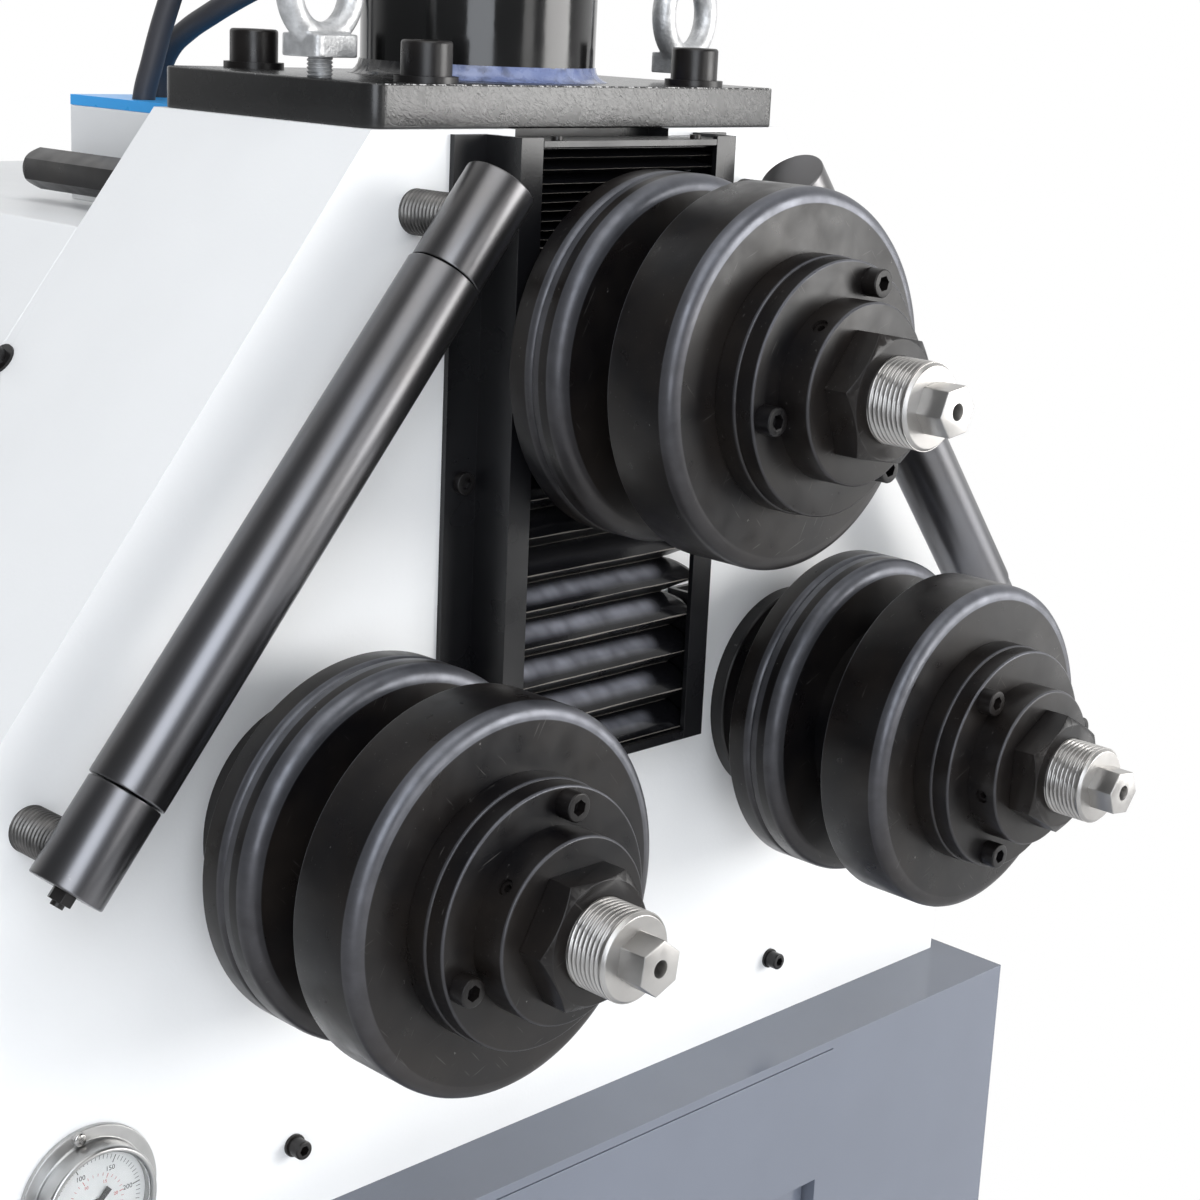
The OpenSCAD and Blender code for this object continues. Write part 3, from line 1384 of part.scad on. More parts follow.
module hose_to_cap() { hose(cap_route); }
module hose_to_gland() { hose(gland_route); }

// Fittings: a turned ferrule on each hose's end, a hexagon and a spigot in the cylinder's wall.
// Inside the valve box each hose ends on a ferrule that stands on the box's floor.
module hose_fittings() {
    in_place() color("silver") for (route = [cap_route, gland_route]) {
        hose_end = last_of(route);
        hex_y = cyl_y + cyl_d / 2 + free_gap;
        spigot_l = hex_y - wall_y(route) + port_depth;
        facing_back(hose_end[0], shafts_z + hose_end[2], hex_y) {
            hexagon(fitting_hex, fitting_hex_l);
            cylinder(d = ferrule_d, h = hose_end[1] - hex_y);
            translate([0, 0, -spigot_l]) cylinder(d = port_d, h = spigot_l + edge);
        }
        translate([route[0][0], route[0][1], rear_top_z + rear_sheet])
            cylinder(d = ferrule_d, h = shafts_z + route[0][2] - rear_top_z - rear_sheet);
    }
}

base_cabinet();
cabinet_door();
door_latch();
hydraulic_tank();
pump_unit();
head_frame();
rear_housing();
rear_bar();
valve_box();
valve_box_lid();
top_plate();
plate_screws();
eye_bolts();
cylinder_barrel();
cylinder_cap();
hose_fittings();
hose_to_cap();
hose_to_gland();
slide_ways();
left_rail();
right_rail();
bellows_bars();
frame_screws();
upper_bellows();
lower_bellows();
shaft_bearings();
guide_studs();
guide_blocks();
guide_axles();
left_guide_sleeve();
right_guide_sleeve();
gauge_case();
gauge_dial();
gauge_needle();
gauge_glass();
gear_motor();
drive_pinion();
left_gear();
right_gear();
slide_block();
slide_bearings();
piston_rod();
left_shaft();
left_rear_roll();
left_front_roll();
left_collar();
left_collar_screws();
left_nut();
right_shaft();
right_rear_roll();
right_front_roll();
right_collar();
right_collar_screws();
right_nut();
upper_shaft();
upper_rear_roll();
upper_front_roll();
upper_collar();
upper_collar_screws();
upper_nut();
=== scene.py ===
# %% [markdown]
# # A ring roller, piece by piece
# A ring roller bends bar and tube between three rollers. The machine has already been built as
# a set of exact solids that know how they move. This lesson dresses those solids: it keeps the
# shapes that are right, models the ones that need rounder edges or softer forms, and gives
# every piece a finish. It starts by loading the solids as a fixed frame.

# %% Load the machine
import json
from math import atan2, cos, degrees, hypot, pi, radians, sin, sqrt

import bmesh
import bpy
from mathutils import Matrix, Vector, noise


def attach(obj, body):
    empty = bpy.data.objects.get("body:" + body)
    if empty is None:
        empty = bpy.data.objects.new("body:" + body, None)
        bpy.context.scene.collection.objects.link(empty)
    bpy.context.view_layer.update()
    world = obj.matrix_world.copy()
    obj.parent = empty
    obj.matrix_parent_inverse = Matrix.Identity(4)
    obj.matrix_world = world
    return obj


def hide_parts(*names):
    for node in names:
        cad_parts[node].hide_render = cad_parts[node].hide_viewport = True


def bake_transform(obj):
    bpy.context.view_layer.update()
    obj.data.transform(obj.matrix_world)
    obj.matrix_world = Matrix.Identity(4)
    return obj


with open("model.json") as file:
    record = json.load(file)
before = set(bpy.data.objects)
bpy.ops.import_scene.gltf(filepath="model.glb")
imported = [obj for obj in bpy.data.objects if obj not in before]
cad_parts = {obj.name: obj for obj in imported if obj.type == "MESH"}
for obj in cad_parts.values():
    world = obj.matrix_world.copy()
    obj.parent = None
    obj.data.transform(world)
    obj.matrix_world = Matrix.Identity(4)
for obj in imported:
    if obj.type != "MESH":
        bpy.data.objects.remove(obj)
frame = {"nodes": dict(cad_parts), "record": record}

scene = bpy.context.scene
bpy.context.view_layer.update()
body_of = {node: body for body, members in frame["record"]["behaviour"]["bodies"].items()
           for node in members}

# %% [markdown]
# ## Where things are
# The machine's drawing measures in millimetres: X across, Y backwards from the front panel,
# and here Z up from the axis of the two lower shafts. The frame's origin lies on the floor
# under the middle of the footprint, so one small function turns a place on the drawing into a
# place in the scene. A second one turns a piece that was made along +Z so that it points out
# of the front panel, as every shaft, screw and dial does.

# %% Places and directions
MM = 0.001
PANEL_Y = -186.5
SHAFTS_Z = 846.5


def spot(x, y, z):
    return Vector((x, y + PANEL_Y, z + SHAFTS_Z)) * MM


def upright(x, y, z):
    return Matrix.Translation(spot(x, y, z)) @ Matrix.Scale(MM, 4)


def turned(angle, axis):
    return Matrix.Rotation(radians(angle), 4, axis)


def facing_front(x, z):
    return upright(x, 0, z) @ turned(90, "X")


print("lower shafts' axis:", [round(c, 4) for c in spot(0, 0, 0)])

# %% [markdown]
# ## The camera
# The photograph was taken from the front left, a little above the rollers, and the camera was
# tipped slightly. Its place, direction and lens were found by fitting a camera to points whose
# real places are known, such as the shaft centres and the corners of the head. A camera looks
# along its own minus Z, so its three axes are written down as the columns of a matrix.

# %% Camera
yaw, pitch, roll = radians(45.83), radians(-14.587), radians(2.655)
look = Vector((sin(yaw) * cos(pitch), cos(yaw) * cos(pitch), sin(pitch)))
across = Vector((cos(yaw), -sin(yaw), 0))
above = across.cross(look)
lens = bpy.data.cameras.new("photo_lens")
lens.lens, lens.sensor_width = 68.165, 36.0
camera = bpy.data.objects.new("photo_camera", lens)
scene.collection.objects.link(camera)
axes = Matrix((across * cos(roll) + above * sin(roll), above * cos(roll) - across * sin(roll), -look))
camera.matrix_world = Matrix.Translation(spot(-796.09, -791.83, 370.63)) @ axes.transposed().to_4x4()
scene.camera = camera
print("camera at", [round(c, 3) for c in camera.matrix_world.translation])

# %% [markdown]
# ## Small tools for finishes
# A finish is a network of nodes, and short helpers do its repeated work. They start a
# material, add one node with its values, make a noise pattern, stretch or join values, mix
# two colours and mark the stretch between two lengths. All patterns read Object coordinates,
# which are real metres here, so a grain has the same size on every piece.

# %% Node helpers


def add(tree, kind, links=(), **values):
    node = tree.nodes.new("ShaderNode" + kind)
    for key, value in values.items():
        if key in node.inputs:
            node.inputs[key].default_value = value
        else:
            setattr(node, key, value)
    for socket, source in dict(links).items():
        tree.links.new(source, node.inputs[socket])
    return node


def start_finish(name, rough, metallic=0.0, **sockets):
    """Starts a material, and gives it with its nodes, its shader and its Object coordinates."""
    material = bpy.data.materials.new(name)
    material.use_nodes = True
    tree = material.node_tree
    shader = tree.nodes["Principled BSDF"]
    shader.inputs["Roughness"].default_value = rough
    shader.inputs["Metallic"].default_value = metallic
    for key, value in sockets.items():
        shader.inputs[key.replace("_", " ")].default_value = value
    return material, tree, shader, add(tree, "TexCoord").outputs["Object"]


def cloud(tree, vector, size_mm, detail=2.0, **values):
    """Noise whose patches are about the given size across."""
    pattern = add(tree, "TexNoise", {"Vector": vector}, Scale=1 / (size_mm * MM), Detail=detail, **values)
    return pattern.outputs[0]


def ramp(tree, value, low, high, to_low=0.0, to_high=1.0, **values):
    """Stretches what lies between low and high to a new range, and holds still beyond it."""
    node = add(tree, "MapRange", {"Value": value}, **values)
    for key, number in (("From Min", low), ("From Max", high), ("To Min", to_low), ("To Max", to_high)):
        node.inputs[key].default_value = number
    return node.outputs[0]


def spread(tree, vector, size_mm, low, high, detail=2.0, contrast=(0.3, 0.7)):
    """Noise that wanders between two values."""
    return ramp(tree, cloud(tree, vector, size_mm, detail), *contrast, low, high)


def combine(tree, operation, *values):
    """Joins values in one Math node. Each of them is a socket or a plain number."""
    node = add(tree, "Math", operation=operation)
    for socket, value in zip(node.inputs, values):
        if isinstance(value, (int, float)):
            socket.default_value = value
        else:
            tree.links.new(value, socket)
    return node.outputs[0]


def shade(tree, factor, colour_a, colour_b):
    mix = tree.nodes.new("ShaderNodeMix")
    mix.data_type = "RGBA"
    tree.links.new(factor, mix.inputs["Factor"])
    for socket, colour in ((6, colour_a), (7, colour_b)):
        if isinstance(colour, tuple):
            mix.inputs[socket].default_value = (*colour, 1)
        else:
            tree.links.new(colour, mix.inputs[socket])
    return mix.outputs[2]


def within(tree, value, low_mm, high_mm, soft_mm=0.7):
    """Gives 1 where a length lies between two others, with soft ends, and 0 elsewhere."""
    middle, half = (low_mm + high_mm) / 2, (high_mm - low_mm) / 2
    apart = combine(tree, "ABSOLUTE", combine(tree, "SUBTRACT", value, middle * MM))
    return ramp(tree, apart, (half + soft_mm / 2) * MM, max(half - soft_mm / 2, 0.05) * MM,
                interpolation_type="SMOOTHSTEP")


def tone(colour, factor):
    return tuple(c * factor for c in colour)


def emboss(tree, shader, height, high_mm):
    bump = add(tree, "Bump", {"Height": height}, Strength=1.0, Distance=high_mm * MM)
    tree.links.new(bump.outputs[0], shader.inputs["Normal"])


def coat(tree, shader, colour, roughness):
    tree.links.new(colour, shader.inputs["Base Color"])
    tree.links.new(roughness, shader.inputs["Roughness"])


print("node helpers ready")

# %% [markdown]
# ## Paint
# Paint on sheet steel is never quite flat. Powder coat has a fine grain, enamel has a faint
# orange peel, and both drift a little in tone and gloss. The helper takes the colour, the
# gloss, and the size and height of that grain, so each paint is one line.

# %% Paints
DRIFT_MM, GLOSS_MM, GLOSS_SWING = 70, 25, 0.05


def paint(name, colour, rough, grain_mm, grain_high_mm, drift=0.03, **sockets):
    material, tree, shader, place = start_finish(name, rough, **sockets)
    drifting = spread(tree, place, DRIFT_MM, 0.0, 1.0)
    coat(tree, shader, shade(tree, drifting, tone(colour, 1 - drift), tone(colour, 1 + drift)),
         spread(tree, place, GLOSS_MM, rough - GLOSS_SWING, rough + GLOSS_SWING))
    emboss(tree, shader, cloud(tree, place, grain_mm, 3.0), grain_high_mm)
    return material


white_paint = paint("white_powder_coat", (0.852, 0.858, 0.859), 0.46, 1.6, 0.05, 0.012)
grey_paint = paint("grey_enamel", (0.14, 0.156, 0.195), 0.16, 5.0, 0.012, 0.03)
blue_paint = paint("blue_lid_enamel", (0.045, 0.40, 0.90), 0.3, 3.0, 0.02)
black_satin = paint("black_satin_paint", (0.006, 0.006, 0.007), 0.3, 1.2, 0.02, 0.2)
cast_paint = paint("painted_casting", (0.13, 0.14, 0.15), 0.5, 3.0, 0.25, 0.1)
tank_paint = paint("tank_enamel", (0.16, 0.17, 0.2), 0.35, 4.0, 0.03)
print("paints:", [m.name for m in bpy.data.materials if m.name.endswith(("paint", "coat", "enamel"))])

# %% [markdown]
# ## Steel
# Most of what shows is turned steel, either bright or blackened in an oxide bath. A lathe
# leaves fine rings round the axis, so the pattern is drawn over two numbers only: how far a
# point is from the axis and how far along it lies. A Mapping node first moves the axis to
# zero. Over that come a drift of tone, since oxide baths leave browner and bluer patches, and
# a few pale specks where the black has been knocked off.
#
# On the rolls and collars the black is also rubbed through along the rounded edges. These bands
# are partly wear and partly painted highlight, since their bare metal stands in for the
# highlights on the rims. Each band is a stretch of radius and a stretch of distance in front of
# the panel, and it is painted brighter and bluer towards the top of a roll, which is a painted
# highlight. Thin scuffs cross the faces: they are noise drawn out to sixteen times its width in
# three directions.

# %% Steels
OXIDE, BROWNER = (0.002, 0.002, 0.003), (0.013, 0.0105, 0.009)
CHIPPED, SCUFFED = (0.30, 0.29, 0.28), (0.11, 0.105, 0.10)
BRIGHT, DULLER = (0.52, 0.51, 0.495), (0.34, 0.33, 0.32)
BARE_SHADED_LOW, BARE_LIT_HIGH = (0.07, 0.062, 0.058), (0.155, 0.16, 0.18)
SCUFF_MM, SCUFF_LONG, SCUFF_TURNS = 1 / 0.7, 16, (0.5, 1.2, 2.4)


def scuffs(tree, place):
    """Thin scratches, the strongest of three directions."""
    marks = 0.0
    for turn in SCUFF_TURNS:
        drawn = add(tree, "Mapping", {"Vector": place}, vector_type="TEXTURE", Rotation=(0, turn, 0),
                    Scale=(1, 1, SCUFF_LONG))
        line = ramp(tree, cloud(tree, drawn.outputs[0], SCUFF_MM), 0.72, 0.77, 0.0, 0.3)
        marks = combine(tree, "MAXIMUM", marks, line)
    return marks


def wear_and_sheen_strength(tree, radius, along, bands):
    """How far the black is gone, with the painted rim highlight: the strongest of all the bands."""
    wear_and_sheen = 0.0
    for r_low, r_high, low, high, strength in bands:
        band = combine(tree, "MULTIPLY", within(tree, radius, r_low, r_high),
                       within(tree, along, -high, -low))
        wear_and_sheen = combine(tree, "MAXIMUM", wear_and_sheen, combine(tree, "MULTIPLY", band, strength))
    return wear_and_sheen


def steel(name, colour, patch, rough, metallic, centre=None, ring_mm=0.5, ring_high_mm=0.004,
          specks=0.0, patch_mm=45, rough_swing=0.08, lean=None, wear_and_sheen_bands=(), **sockets):
    material, tree, shader, place = start_finish(name, rough, metallic, **sockets)
    lines = place
    if centre is not None:
        moved = add(tree, "Mapping", {"Vector": place}, vector_type="TEXTURE", Location=centre)
        if lean is not None:
            moved.inputs["Rotation"].default_value = (0, lean, 0)
        x, y, z = add(tree, "SeparateXYZ", {"Vector": moved.outputs[0]}).outputs
        height, along = (z, y) if lean is None else (y, z)
        flat = add(tree, "CombineXYZ", {"X": x, "Y": height})
        radius = add(tree, "VectorMath", {0: flat.outputs[0]}, operation="LENGTH").outputs["Value"]
        lines = add(tree, "CombineXYZ", {"X": radius, "Y": along}).outputs[0]
    emboss(tree, shader, cloud(tree, lines, ring_mm, 4.0), ring_high_mm)
    roughness = spread(tree, place, patch_mm / 3, rough - rough_swing, rough + rough_swing, 4.0)
    base = shade(tree, spread(tree, place, patch_mm, 0.0, 1.0, 5.0), colour, patch)
    if specks:
        chips = ramp(tree, cloud(tree, place, 5, 6.0, Roughness=0.75), 0.69, 0.71, 0.0, specks)
        base = shade(tree, chips, base, CHIPPED)
    if wear_and_sheen_bands:
        base = shade(tree, scuffs(tree, place), base, SCUFFED)
        # Painted highlight: the bare bands grow stronger, brighter and bluer towards the top of the roll.
        painted_highlight_from_top = ramp(tree, z, -75 * MM, 60 * MM, 0.2)
        wear_and_sheen = combine(tree, "MULTIPLY", wear_and_sheen_strength(tree, radius, along, wear_and_sheen_bands),
                       spread(tree, place, 9, 0.62, 1.0, 8.0))
        wear_and_sheen = combine(tree, "MULTIPLY", wear_and_sheen, painted_highlight_from_top)
        tree.links.new(wear_and_sheen, shader.inputs["Metallic"])
        base = shade(tree, wear_and_sheen, base, shade(tree, painted_highlight_from_top, BARE_SHADED_LOW, BARE_LIT_HIGH))
        roughness = combine(tree, "MULTIPLY_ADD", wear_and_sheen, 0.1,
                            spread(tree, place, 14, rough - 0.07, rough + 0.09, 6.0))
    coat(tree, shader, base, roughness)
    return material


roller_axes = {"left": (-170.0, 0.0), "right": (170.0, 0.0), "upper": (0.0, 210.0)}
roller_body = {"left": "left_roller", "right": "right_roller", "upper": "top_roller"}
# Each band of wear and painted rim highlight: from and to a radius, from and to a distance
# in front of the panel, strength.
WEAR_AND_SHEEN_BANDS = ((81, 89, 133.5, 141, 1.0), (80.5, 89, 63.5, 72, 0.9), (82, 89, 49.5, 58.5, 0.8),
        (87.2, 89, 101, 103, 0.4), (58.5, 60, 150.2, 151.7, 0.6), (57.3, 59, 160.0, 162, 0.8),
        (40.4, 42, 176.8, 179, 0.7), (27, 28.2, 193, 210, 0.5))
black_turned, bright_turned = {}, {}
for side, (x, z) in roller_axes.items():
    axis = spot(x, 0, z)
    black_turned[side] = steel(f"black_oxide_{side}", OXIDE, BROWNER, 0.33, 0.0, axis, 0.9, 0.006, 0.5,
                               wear_and_sheen_bands=WEAR_AND_SHEEN_BANDS, Specular_IOR_Level=0.29)
    bright_turned[side] = steel(f"bright_turned_{side}", BRIGHT, DULLER, 0.36, 1.0, axis, 0.35, 0.01)
black_steel = steel("black_oxide_plain", OXIDE, BROWNER, 0.34, 0.0, specks=0.4, Specular_IOR_Level=0.45)
bright_steel = steel("bright_plain_steel", BRIGHT, DULLER, 0.3, 1.0)
zinc = steel("galvanised_forging", (0.66, 0.665, 0.67), (0.42, 0.425, 0.43), 0.45, 0.7, ring_mm=1.6,
             ring_high_mm=0.3, patch_mm=6)
satin_steel = steel("gauge_satin_steel", (0.50, 0.50, 0.495), (0.40, 0.40, 0.395), 0.33, 1.0, patch_mm=20,
                    rough_swing=0.04)
chrome = steel("polished_chrome", (0.72, 0.72, 0.73), (0.66, 0.66, 0.67), 0.08, 1.0, rough_swing=0.03)
print("steels:", len(bpy.data.materials), "materials so far")

# %% [markdown]
# ## Rubber, plastic, vinyl and glass
# The soft and moulded finishes need no metal. Hose rubber is matt with a fine cloth mark, the
# latch is a plain satin plastic, and the gauge has a clear window with a faint tint.
#
# The bellows are a glossy coated sheet. The photograph shows a soft pale streak on the upper
# side of each lower pleat, which is a painted highlight, and a thin pale line along each crest,
# painted as the highlight on the fold, with a fainter pale line along each valley.
# Both are windows of place: the streak fills a stretch of X, Y and Z, and the lines fill
# narrow stretches of Y. The underside of each pleat has the same sheet without them.

# %% Soft and clear finishes
CREST_Y, VALLEY_Y = -22.6, -8.5
hose_rubber = paint("hose_rubber", (0.045, 0.045, 0.052), 0.5, 0.9, 0.06, 0.12)
vinyl = paint("bellows_vinyl", (0.006, 0.006, 0.008), 0.17, 2.2, 0.03, 0.3)
tree = vinyl.node_tree
place = add(tree, "TexCoord").outputs["Object"]
x, y, z = add(tree, "SeparateXYZ", {"Vector": place}).outputs
drawn = add(tree, "Mapping", {"Vector": place}, Scale=(1, 0.7, 0.7))
# Painted highlight: the pale streak on the upper side of the lower pleats.
painted_highlight_streak = spread(tree, drawn.outputs[0], 9, 0.55, 1.0, 1.0)
for value, low, high, soft in ((x, -90, 41, 14), (y, PANEL_Y - 18.6, PANEL_Y - 13.6, 6),
                               (z, SHAFTS_Z + 8, SHAFTS_Z + 98, 24)):
    painted_highlight_streak = combine(tree, "MULTIPLY", painted_highlight_streak, within(tree, value, low, high, soft))
# Painted highlight along each crest, and a fainter pale line along each valley.
crest_highlight_line = within(tree, y, PANEL_Y + CREST_Y - 1.9, PANEL_Y + CREST_Y, 0.3)
valley_line = within(tree, y, PANEL_Y + VALLEY_Y - 0.8, PANEL_Y + VALLEY_Y + 1.5, 0.4)
crest_highlight_and_valley_line = combine(tree, "MAXIMUM", crest_highlight_line, combine(tree, "MULTIPLY", valley_line, 0.6))
skin = shade(tree, painted_highlight_streak, (0.005, 0.005, 0.006), (0.24, 0.245, 0.28))
skin = shade(tree, crest_highlight_and_valley_line, skin, (0.20, 0.185, 0.165))
tree.links.new(skin, tree.nodes["Principled BSDF"].inputs["Base Color"])
underside = paint("bellows_vinyl_underside", (0.005, 0.005, 0.006), 0.3, 2.2, 0.03, 0.3)
black_plastic = paint("latch_plastic", (0.02, 0.02, 0.02), 0.42, 0.8, 0.03, 0.1)
window, tree, shader, place = start_finish("gauge_window", 0.03, Transmission_Weight=1.0, IOR=1.45)
tint = shade(tree, spread(tree, place, 8, 0, 1), (0.97, 0.98, 0.99), (0.93, 0.95, 0.96))
tree.links.new(tint, shader.inputs["Base Color"])
print("soft finishes ready")

# %% [markdown]
# ## Making pieces
# Every piece ends the same way: its mesh is put into an object that sits at the origin, rides
# on a body, takes its finish and hides the solids it stands for. Curved faces are shaded
# smooth, and edges sharper than the given angle stay crisp.

# %% Piece helpers
CREASE = 32


def mesh_of(name, shape):
    mesh = bpy.data.meshes.new(name)
    shape.to_mesh(mesh)
    shape.free()
    return mesh


def show(name, data):
    thing = bpy.data.objects.new(name, data)
    scene.collection.objects.link(thing)
    return thing


def modify(thing, kind, **settings):
    modifier = thing.modifiers.new(kind.lower(), kind)
    for key, value in settings.items():
        setattr(modifier, key, value)


def shape_after(thing):
    """Gives the shape that an object has after its modifiers, and removes the object."""
    shape = bmesh.new()
    shape.from_object(thing, bpy.context.evaluated_depsgraph_get())
    bpy.data.meshes.remove(thing.data)
    return shape


def face_outwards(shape):
    bmesh.ops.recalc_face_normals(shape, faces=shape.faces)
    return shape


def finish_piece(name, shape, finish, body, stands_for=(), smooth=CREASE, outwards=True):
    if outwards:
        face_outwards(shape)
    mesh = mesh_of(name, shape)
    for material in finish if isinstance(finish, (list, tuple)) else [finish]:
        mesh.materials.append(material)
    mesh.shade_smooth()
    mesh.set_sharp_from_angle(angle=radians(smooth))
    piece = show(name, mesh)
    if body:
        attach(piece, body)
    if stands_for:
        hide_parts(*stands_for)
    print(f"{name}: {len(mesh.polygons)} faces")
    return piece


def gather(*parts):
    whole = bmesh.new()
    for part, matrix in parts:
        bmesh.ops.transform(part, matrix=matrix, verts=part.verts)
        carrier = mesh_of("carrier", part)
        whole.from_mesh(carrier)
        bpy.data.meshes.remove(carrier)
    return whole


print("piece helpers ready")

# %% [markdown]
# ## The lathe
# A turned piece is a profile spun round an axis. The profile is a chain of corners, each a
# radius and a distance along the axis, and a third number rounds that corner before the chain
# is spun. So the numbers stay those of a workshop drawing, and rounded edges catch the light.

# %% Lathe


def round_off(shape, geom, offset, segments, affect="EDGES"):
    bmesh.ops.bevel(shape, geom=geom, offset=offset, offset_type="OFFSET", segments=segments,
                    profile=0.5, affect=affect, material=-1)


def spin(shape, steps):
    bmesh.ops.spin(shape, geom=shape.verts[:] + shape.edges[:], cent=(0, 0, 0), axis=(0, 0, 1),
                   angle=2 * pi, steps=steps, use_merge=True)


def lathe(profile, steps=96, closed=True):
    shape = bmesh.new()
    corners = [shape.verts.new((point[0], 0, point[1])) for point in profile]
    for a, b in zip(corners, corners[1:] + corners[:1] if closed else corners[1:]):
        shape.edges.new((a, b))
    for corner, point in zip(corners, profile):
        if len(point) > 2:
            round_off(shape, [corner], point[2], 6, "VERTICES")
    spin(shape, steps)
    bmesh.ops.remove_doubles(shape, verts=shape.verts, dist=0.001)
    return shape


print("lathe ready")

# %% [markdown]
# ## Dressing a solid
# Sheet metal boxes, nuts and screws already have the right shape as solids, but their sharp
# edges never catch the light. A copy of such a solid is welded, its flat faces are joined up
# again, and a Bevel modifier rounds every edge a little. The copy then stands for the solid.

# %% Dressing helper


def dress(node, finish, width_mm, segments=2):
    shape = bmesh.new()
    shape.from_mesh(frame["nodes"][node].data)
    bmesh.ops.remove_doubles(shape, verts=shape.verts, dist=0.01 * MM)
    bmesh.ops.dissolve_limit(shape, angle_limit=radians(0.6), verts=shape.verts, edges=shape.edges)
    piece = finish_piece(node + "_dressed", shape, finish, body_of[node], [node],
                         outwards=False)
    if width_mm:
        modify(piece, "BEVEL", width=width_mm * MM, segments=segments, limit_method="ANGLE",
               angle_limit=radians(CREASE), harden_normals=True, use_clamp_overlap=True)
    return piece


print("dressing helper ready")

# %% [markdown]
# ## The rollers
# Each shaft carries a rear roll with two rims and a hub, a front roll, a clamping collar and a
# nut. They are the heart of the picture, so the rolls and collars are turned afresh with fine
# rounded edges, whose highlights make blackened steel look like steel.

# %% Rolls
RIM, HUB, BORE, GROOVE = 88.0, 55.0, 25.03, 83.6
REAR_FACE, MEETING, FRONT_FACE, COLLAR_STEP, COLLAR_END = 39, 102, 140, 161, 178
rear_profile = [(BORE, REAR_FACE), (RIM, REAR_FACE, 1), (RIM, 54, 4), (GROOVE, 54), (GROOVE, 54.3),
                (RIM, 54.3, 1), (RIM, 71, 7), (HUB, 71), (HUB, MEETING), (BORE, MEETING)]
front_profile = [(BORE, MEETING), (RIM, MEETING, 1), (RIM, FRONT_FACE, 6), (BORE, FRONT_FACE)]
for side, (x, z) in roller_axes.items():
    for part, profile in (("rear_roll", rear_profile), ("front_roll", front_profile)):
        shape = gather((lathe(profile, 160), facing_front(x, z)))
        finish_piece(f"{side}_{part}_turned", shape, black_turned[side], roller_body[side],
                     [f"{side}_{part}"])

# %% [markdown]
# The collar is two flanges of slightly different size, so a thin step runs round it, and in
# front of them a smaller ring that has one grub screw in its side. A small cylinder is
# subtracted from the ring, and a short screw with a six-sided socket is put into the hole.

# %% Collars
FLANGE_R, RING_R, GRUB_AT = 59, 41.25, 169.5
collar_profile = [(BORE, FRONT_FACE), (FLANGE_R, FRONT_FACE, 0.4), (FLANGE_R, 151.3, 0.7), (58.3, 151.6),
                  (58.2, COLLAR_STEP, 1.1), (RING_R, COLLAR_STEP), (RING_R, COLLAR_END, 1.2),
                  (BORE, COLLAR_END)]
grub_angles = {"left": 142, "upper": 130, "right": 193}


def cut_away(shape, tool):
    """Subtracts one closed shape from another with a Boolean modifier and returns the rest."""
    blank, cutter = [show("cutting", mesh_of("cutting", part)) for part in (shape, tool)]
    modify(blank, "BOOLEAN", object=cutter, operation="DIFFERENCE", solver="EXACT")
    rest = shape_after(blank)
    bpy.data.meshes.remove(cutter.data)
    return rest


def out_of_axis(angle, reach, height):
    """Turns a piece made along +Z so that it points away from a shaft's axis."""
    return (Matrix.Translation((0, 0, height)) @ turned(angle, "Z") @ Matrix.Translation((reach, 0, 0))
            @ turned(90, "Y"))


def new_verts(made):
    return [v for v in made["geom"] if isinstance(v, bmesh.types.BMVert)]


def push_out(shape, distance):
    """Extrudes a flat face along Z, which makes it a closed solid."""
    up = bmesh.ops.extrude_face_region(shape, geom=shape.faces[:])
    bmesh.ops.translate(shape, verts=new_verts(up), vec=(0, 0, distance))


def hexagon(across, low, high, angle=0):
    """Makes a six-sided bar from its width across flats."""
    bar = bmesh.new()
    bmesh.ops.create_circle(bar, cap_ends=True, segments=6, radius=across / sqrt(3))
    bmesh.ops.transform(bar, verts=bar.verts, matrix=Matrix.Translation((0, 0, low)) @ turned(angle, "Z"))
    push_out(bar, high - low)
    return face_outwards(bar)


def closed_lathe(profile, steps=48):
    return face_outwards(lathe(profile, steps))


for side, (x, z) in roller_axes.items():
    where = out_of_axis(grub_angles[side], RING_R, GRUB_AT)
    pocket = gather((closed_lathe([(0, -6), (3.6, -6), (3.6, 3), (0, 3)]), where))
    ring = cut_away(closed_lathe(collar_profile, 128), pocket)
    grub = closed_lathe([(0, -5.8), (3.5, -5.8), (3.5, -1.6, 0.4), (0, -1.6)])
    grub = cut_away(grub, hexagon(3.4, -4.6, -0.6))
    shape = gather((ring, facing_front(x, z)), (grub, facing_front(x, z) @ where))
    finish_piece(f"{side}_collar_turned", shape, black_turned[side], roller_body[side],
                 [f"{side}_collar"])

# %% [markdown]
# ## Threads, nuts and shafts
# A thread is a groove that climbs as it goes round, so a plain turned cylinder with fine rows
# is pushed in and out by a wave that depends on both the angle and the height. The shafts'
# front ends, the guide rollers' studs and the eye bolts are all cut with this one helper. A
# shaft is then its turned body, its threaded length and its six-sided drive end, whose centre
# hole is subtracted.
#
# The collar screws and the nuts keep their solids' shape, with the chamfer that cuts the
# nut's six corners. A fine bevel makes those curved edges glint.

# %% Threads
ROWS_PER_TURN, FLANK, FLAT = 8, 1.35, 0.74


def threaded(radius, low, high, pitch, depth, steps=48, ends=1.0):
    rows = max(2, round((high - low) / pitch * ROWS_PER_TURN))
    outline = [(0, low)] + [(radius, low + (high - low) * i / rows) for i in range(rows + 1)] + [(0, high)]
    shape = lathe(outline, steps, closed=False)
    for vert in shape.verts:
        r, z = hypot(vert.co.x, vert.co.y), vert.co.z
        if r > radius / 2:
            turn = (z / pitch - atan2(vert.co.y, vert.co.x) / (2 * pi)) % 1.0
            from_groove = abs(2 * turn - 1)
            fade = min(1.0, (z - low) / ends, (high - z) / ends)
            r_new = r - depth * fade * (1 - from_groove * FLANK if from_groove < FLAT else 0)
            vert.co.x, vert.co.y = vert.co.x * r_new / r, vert.co.y * r_new / r
    return shape


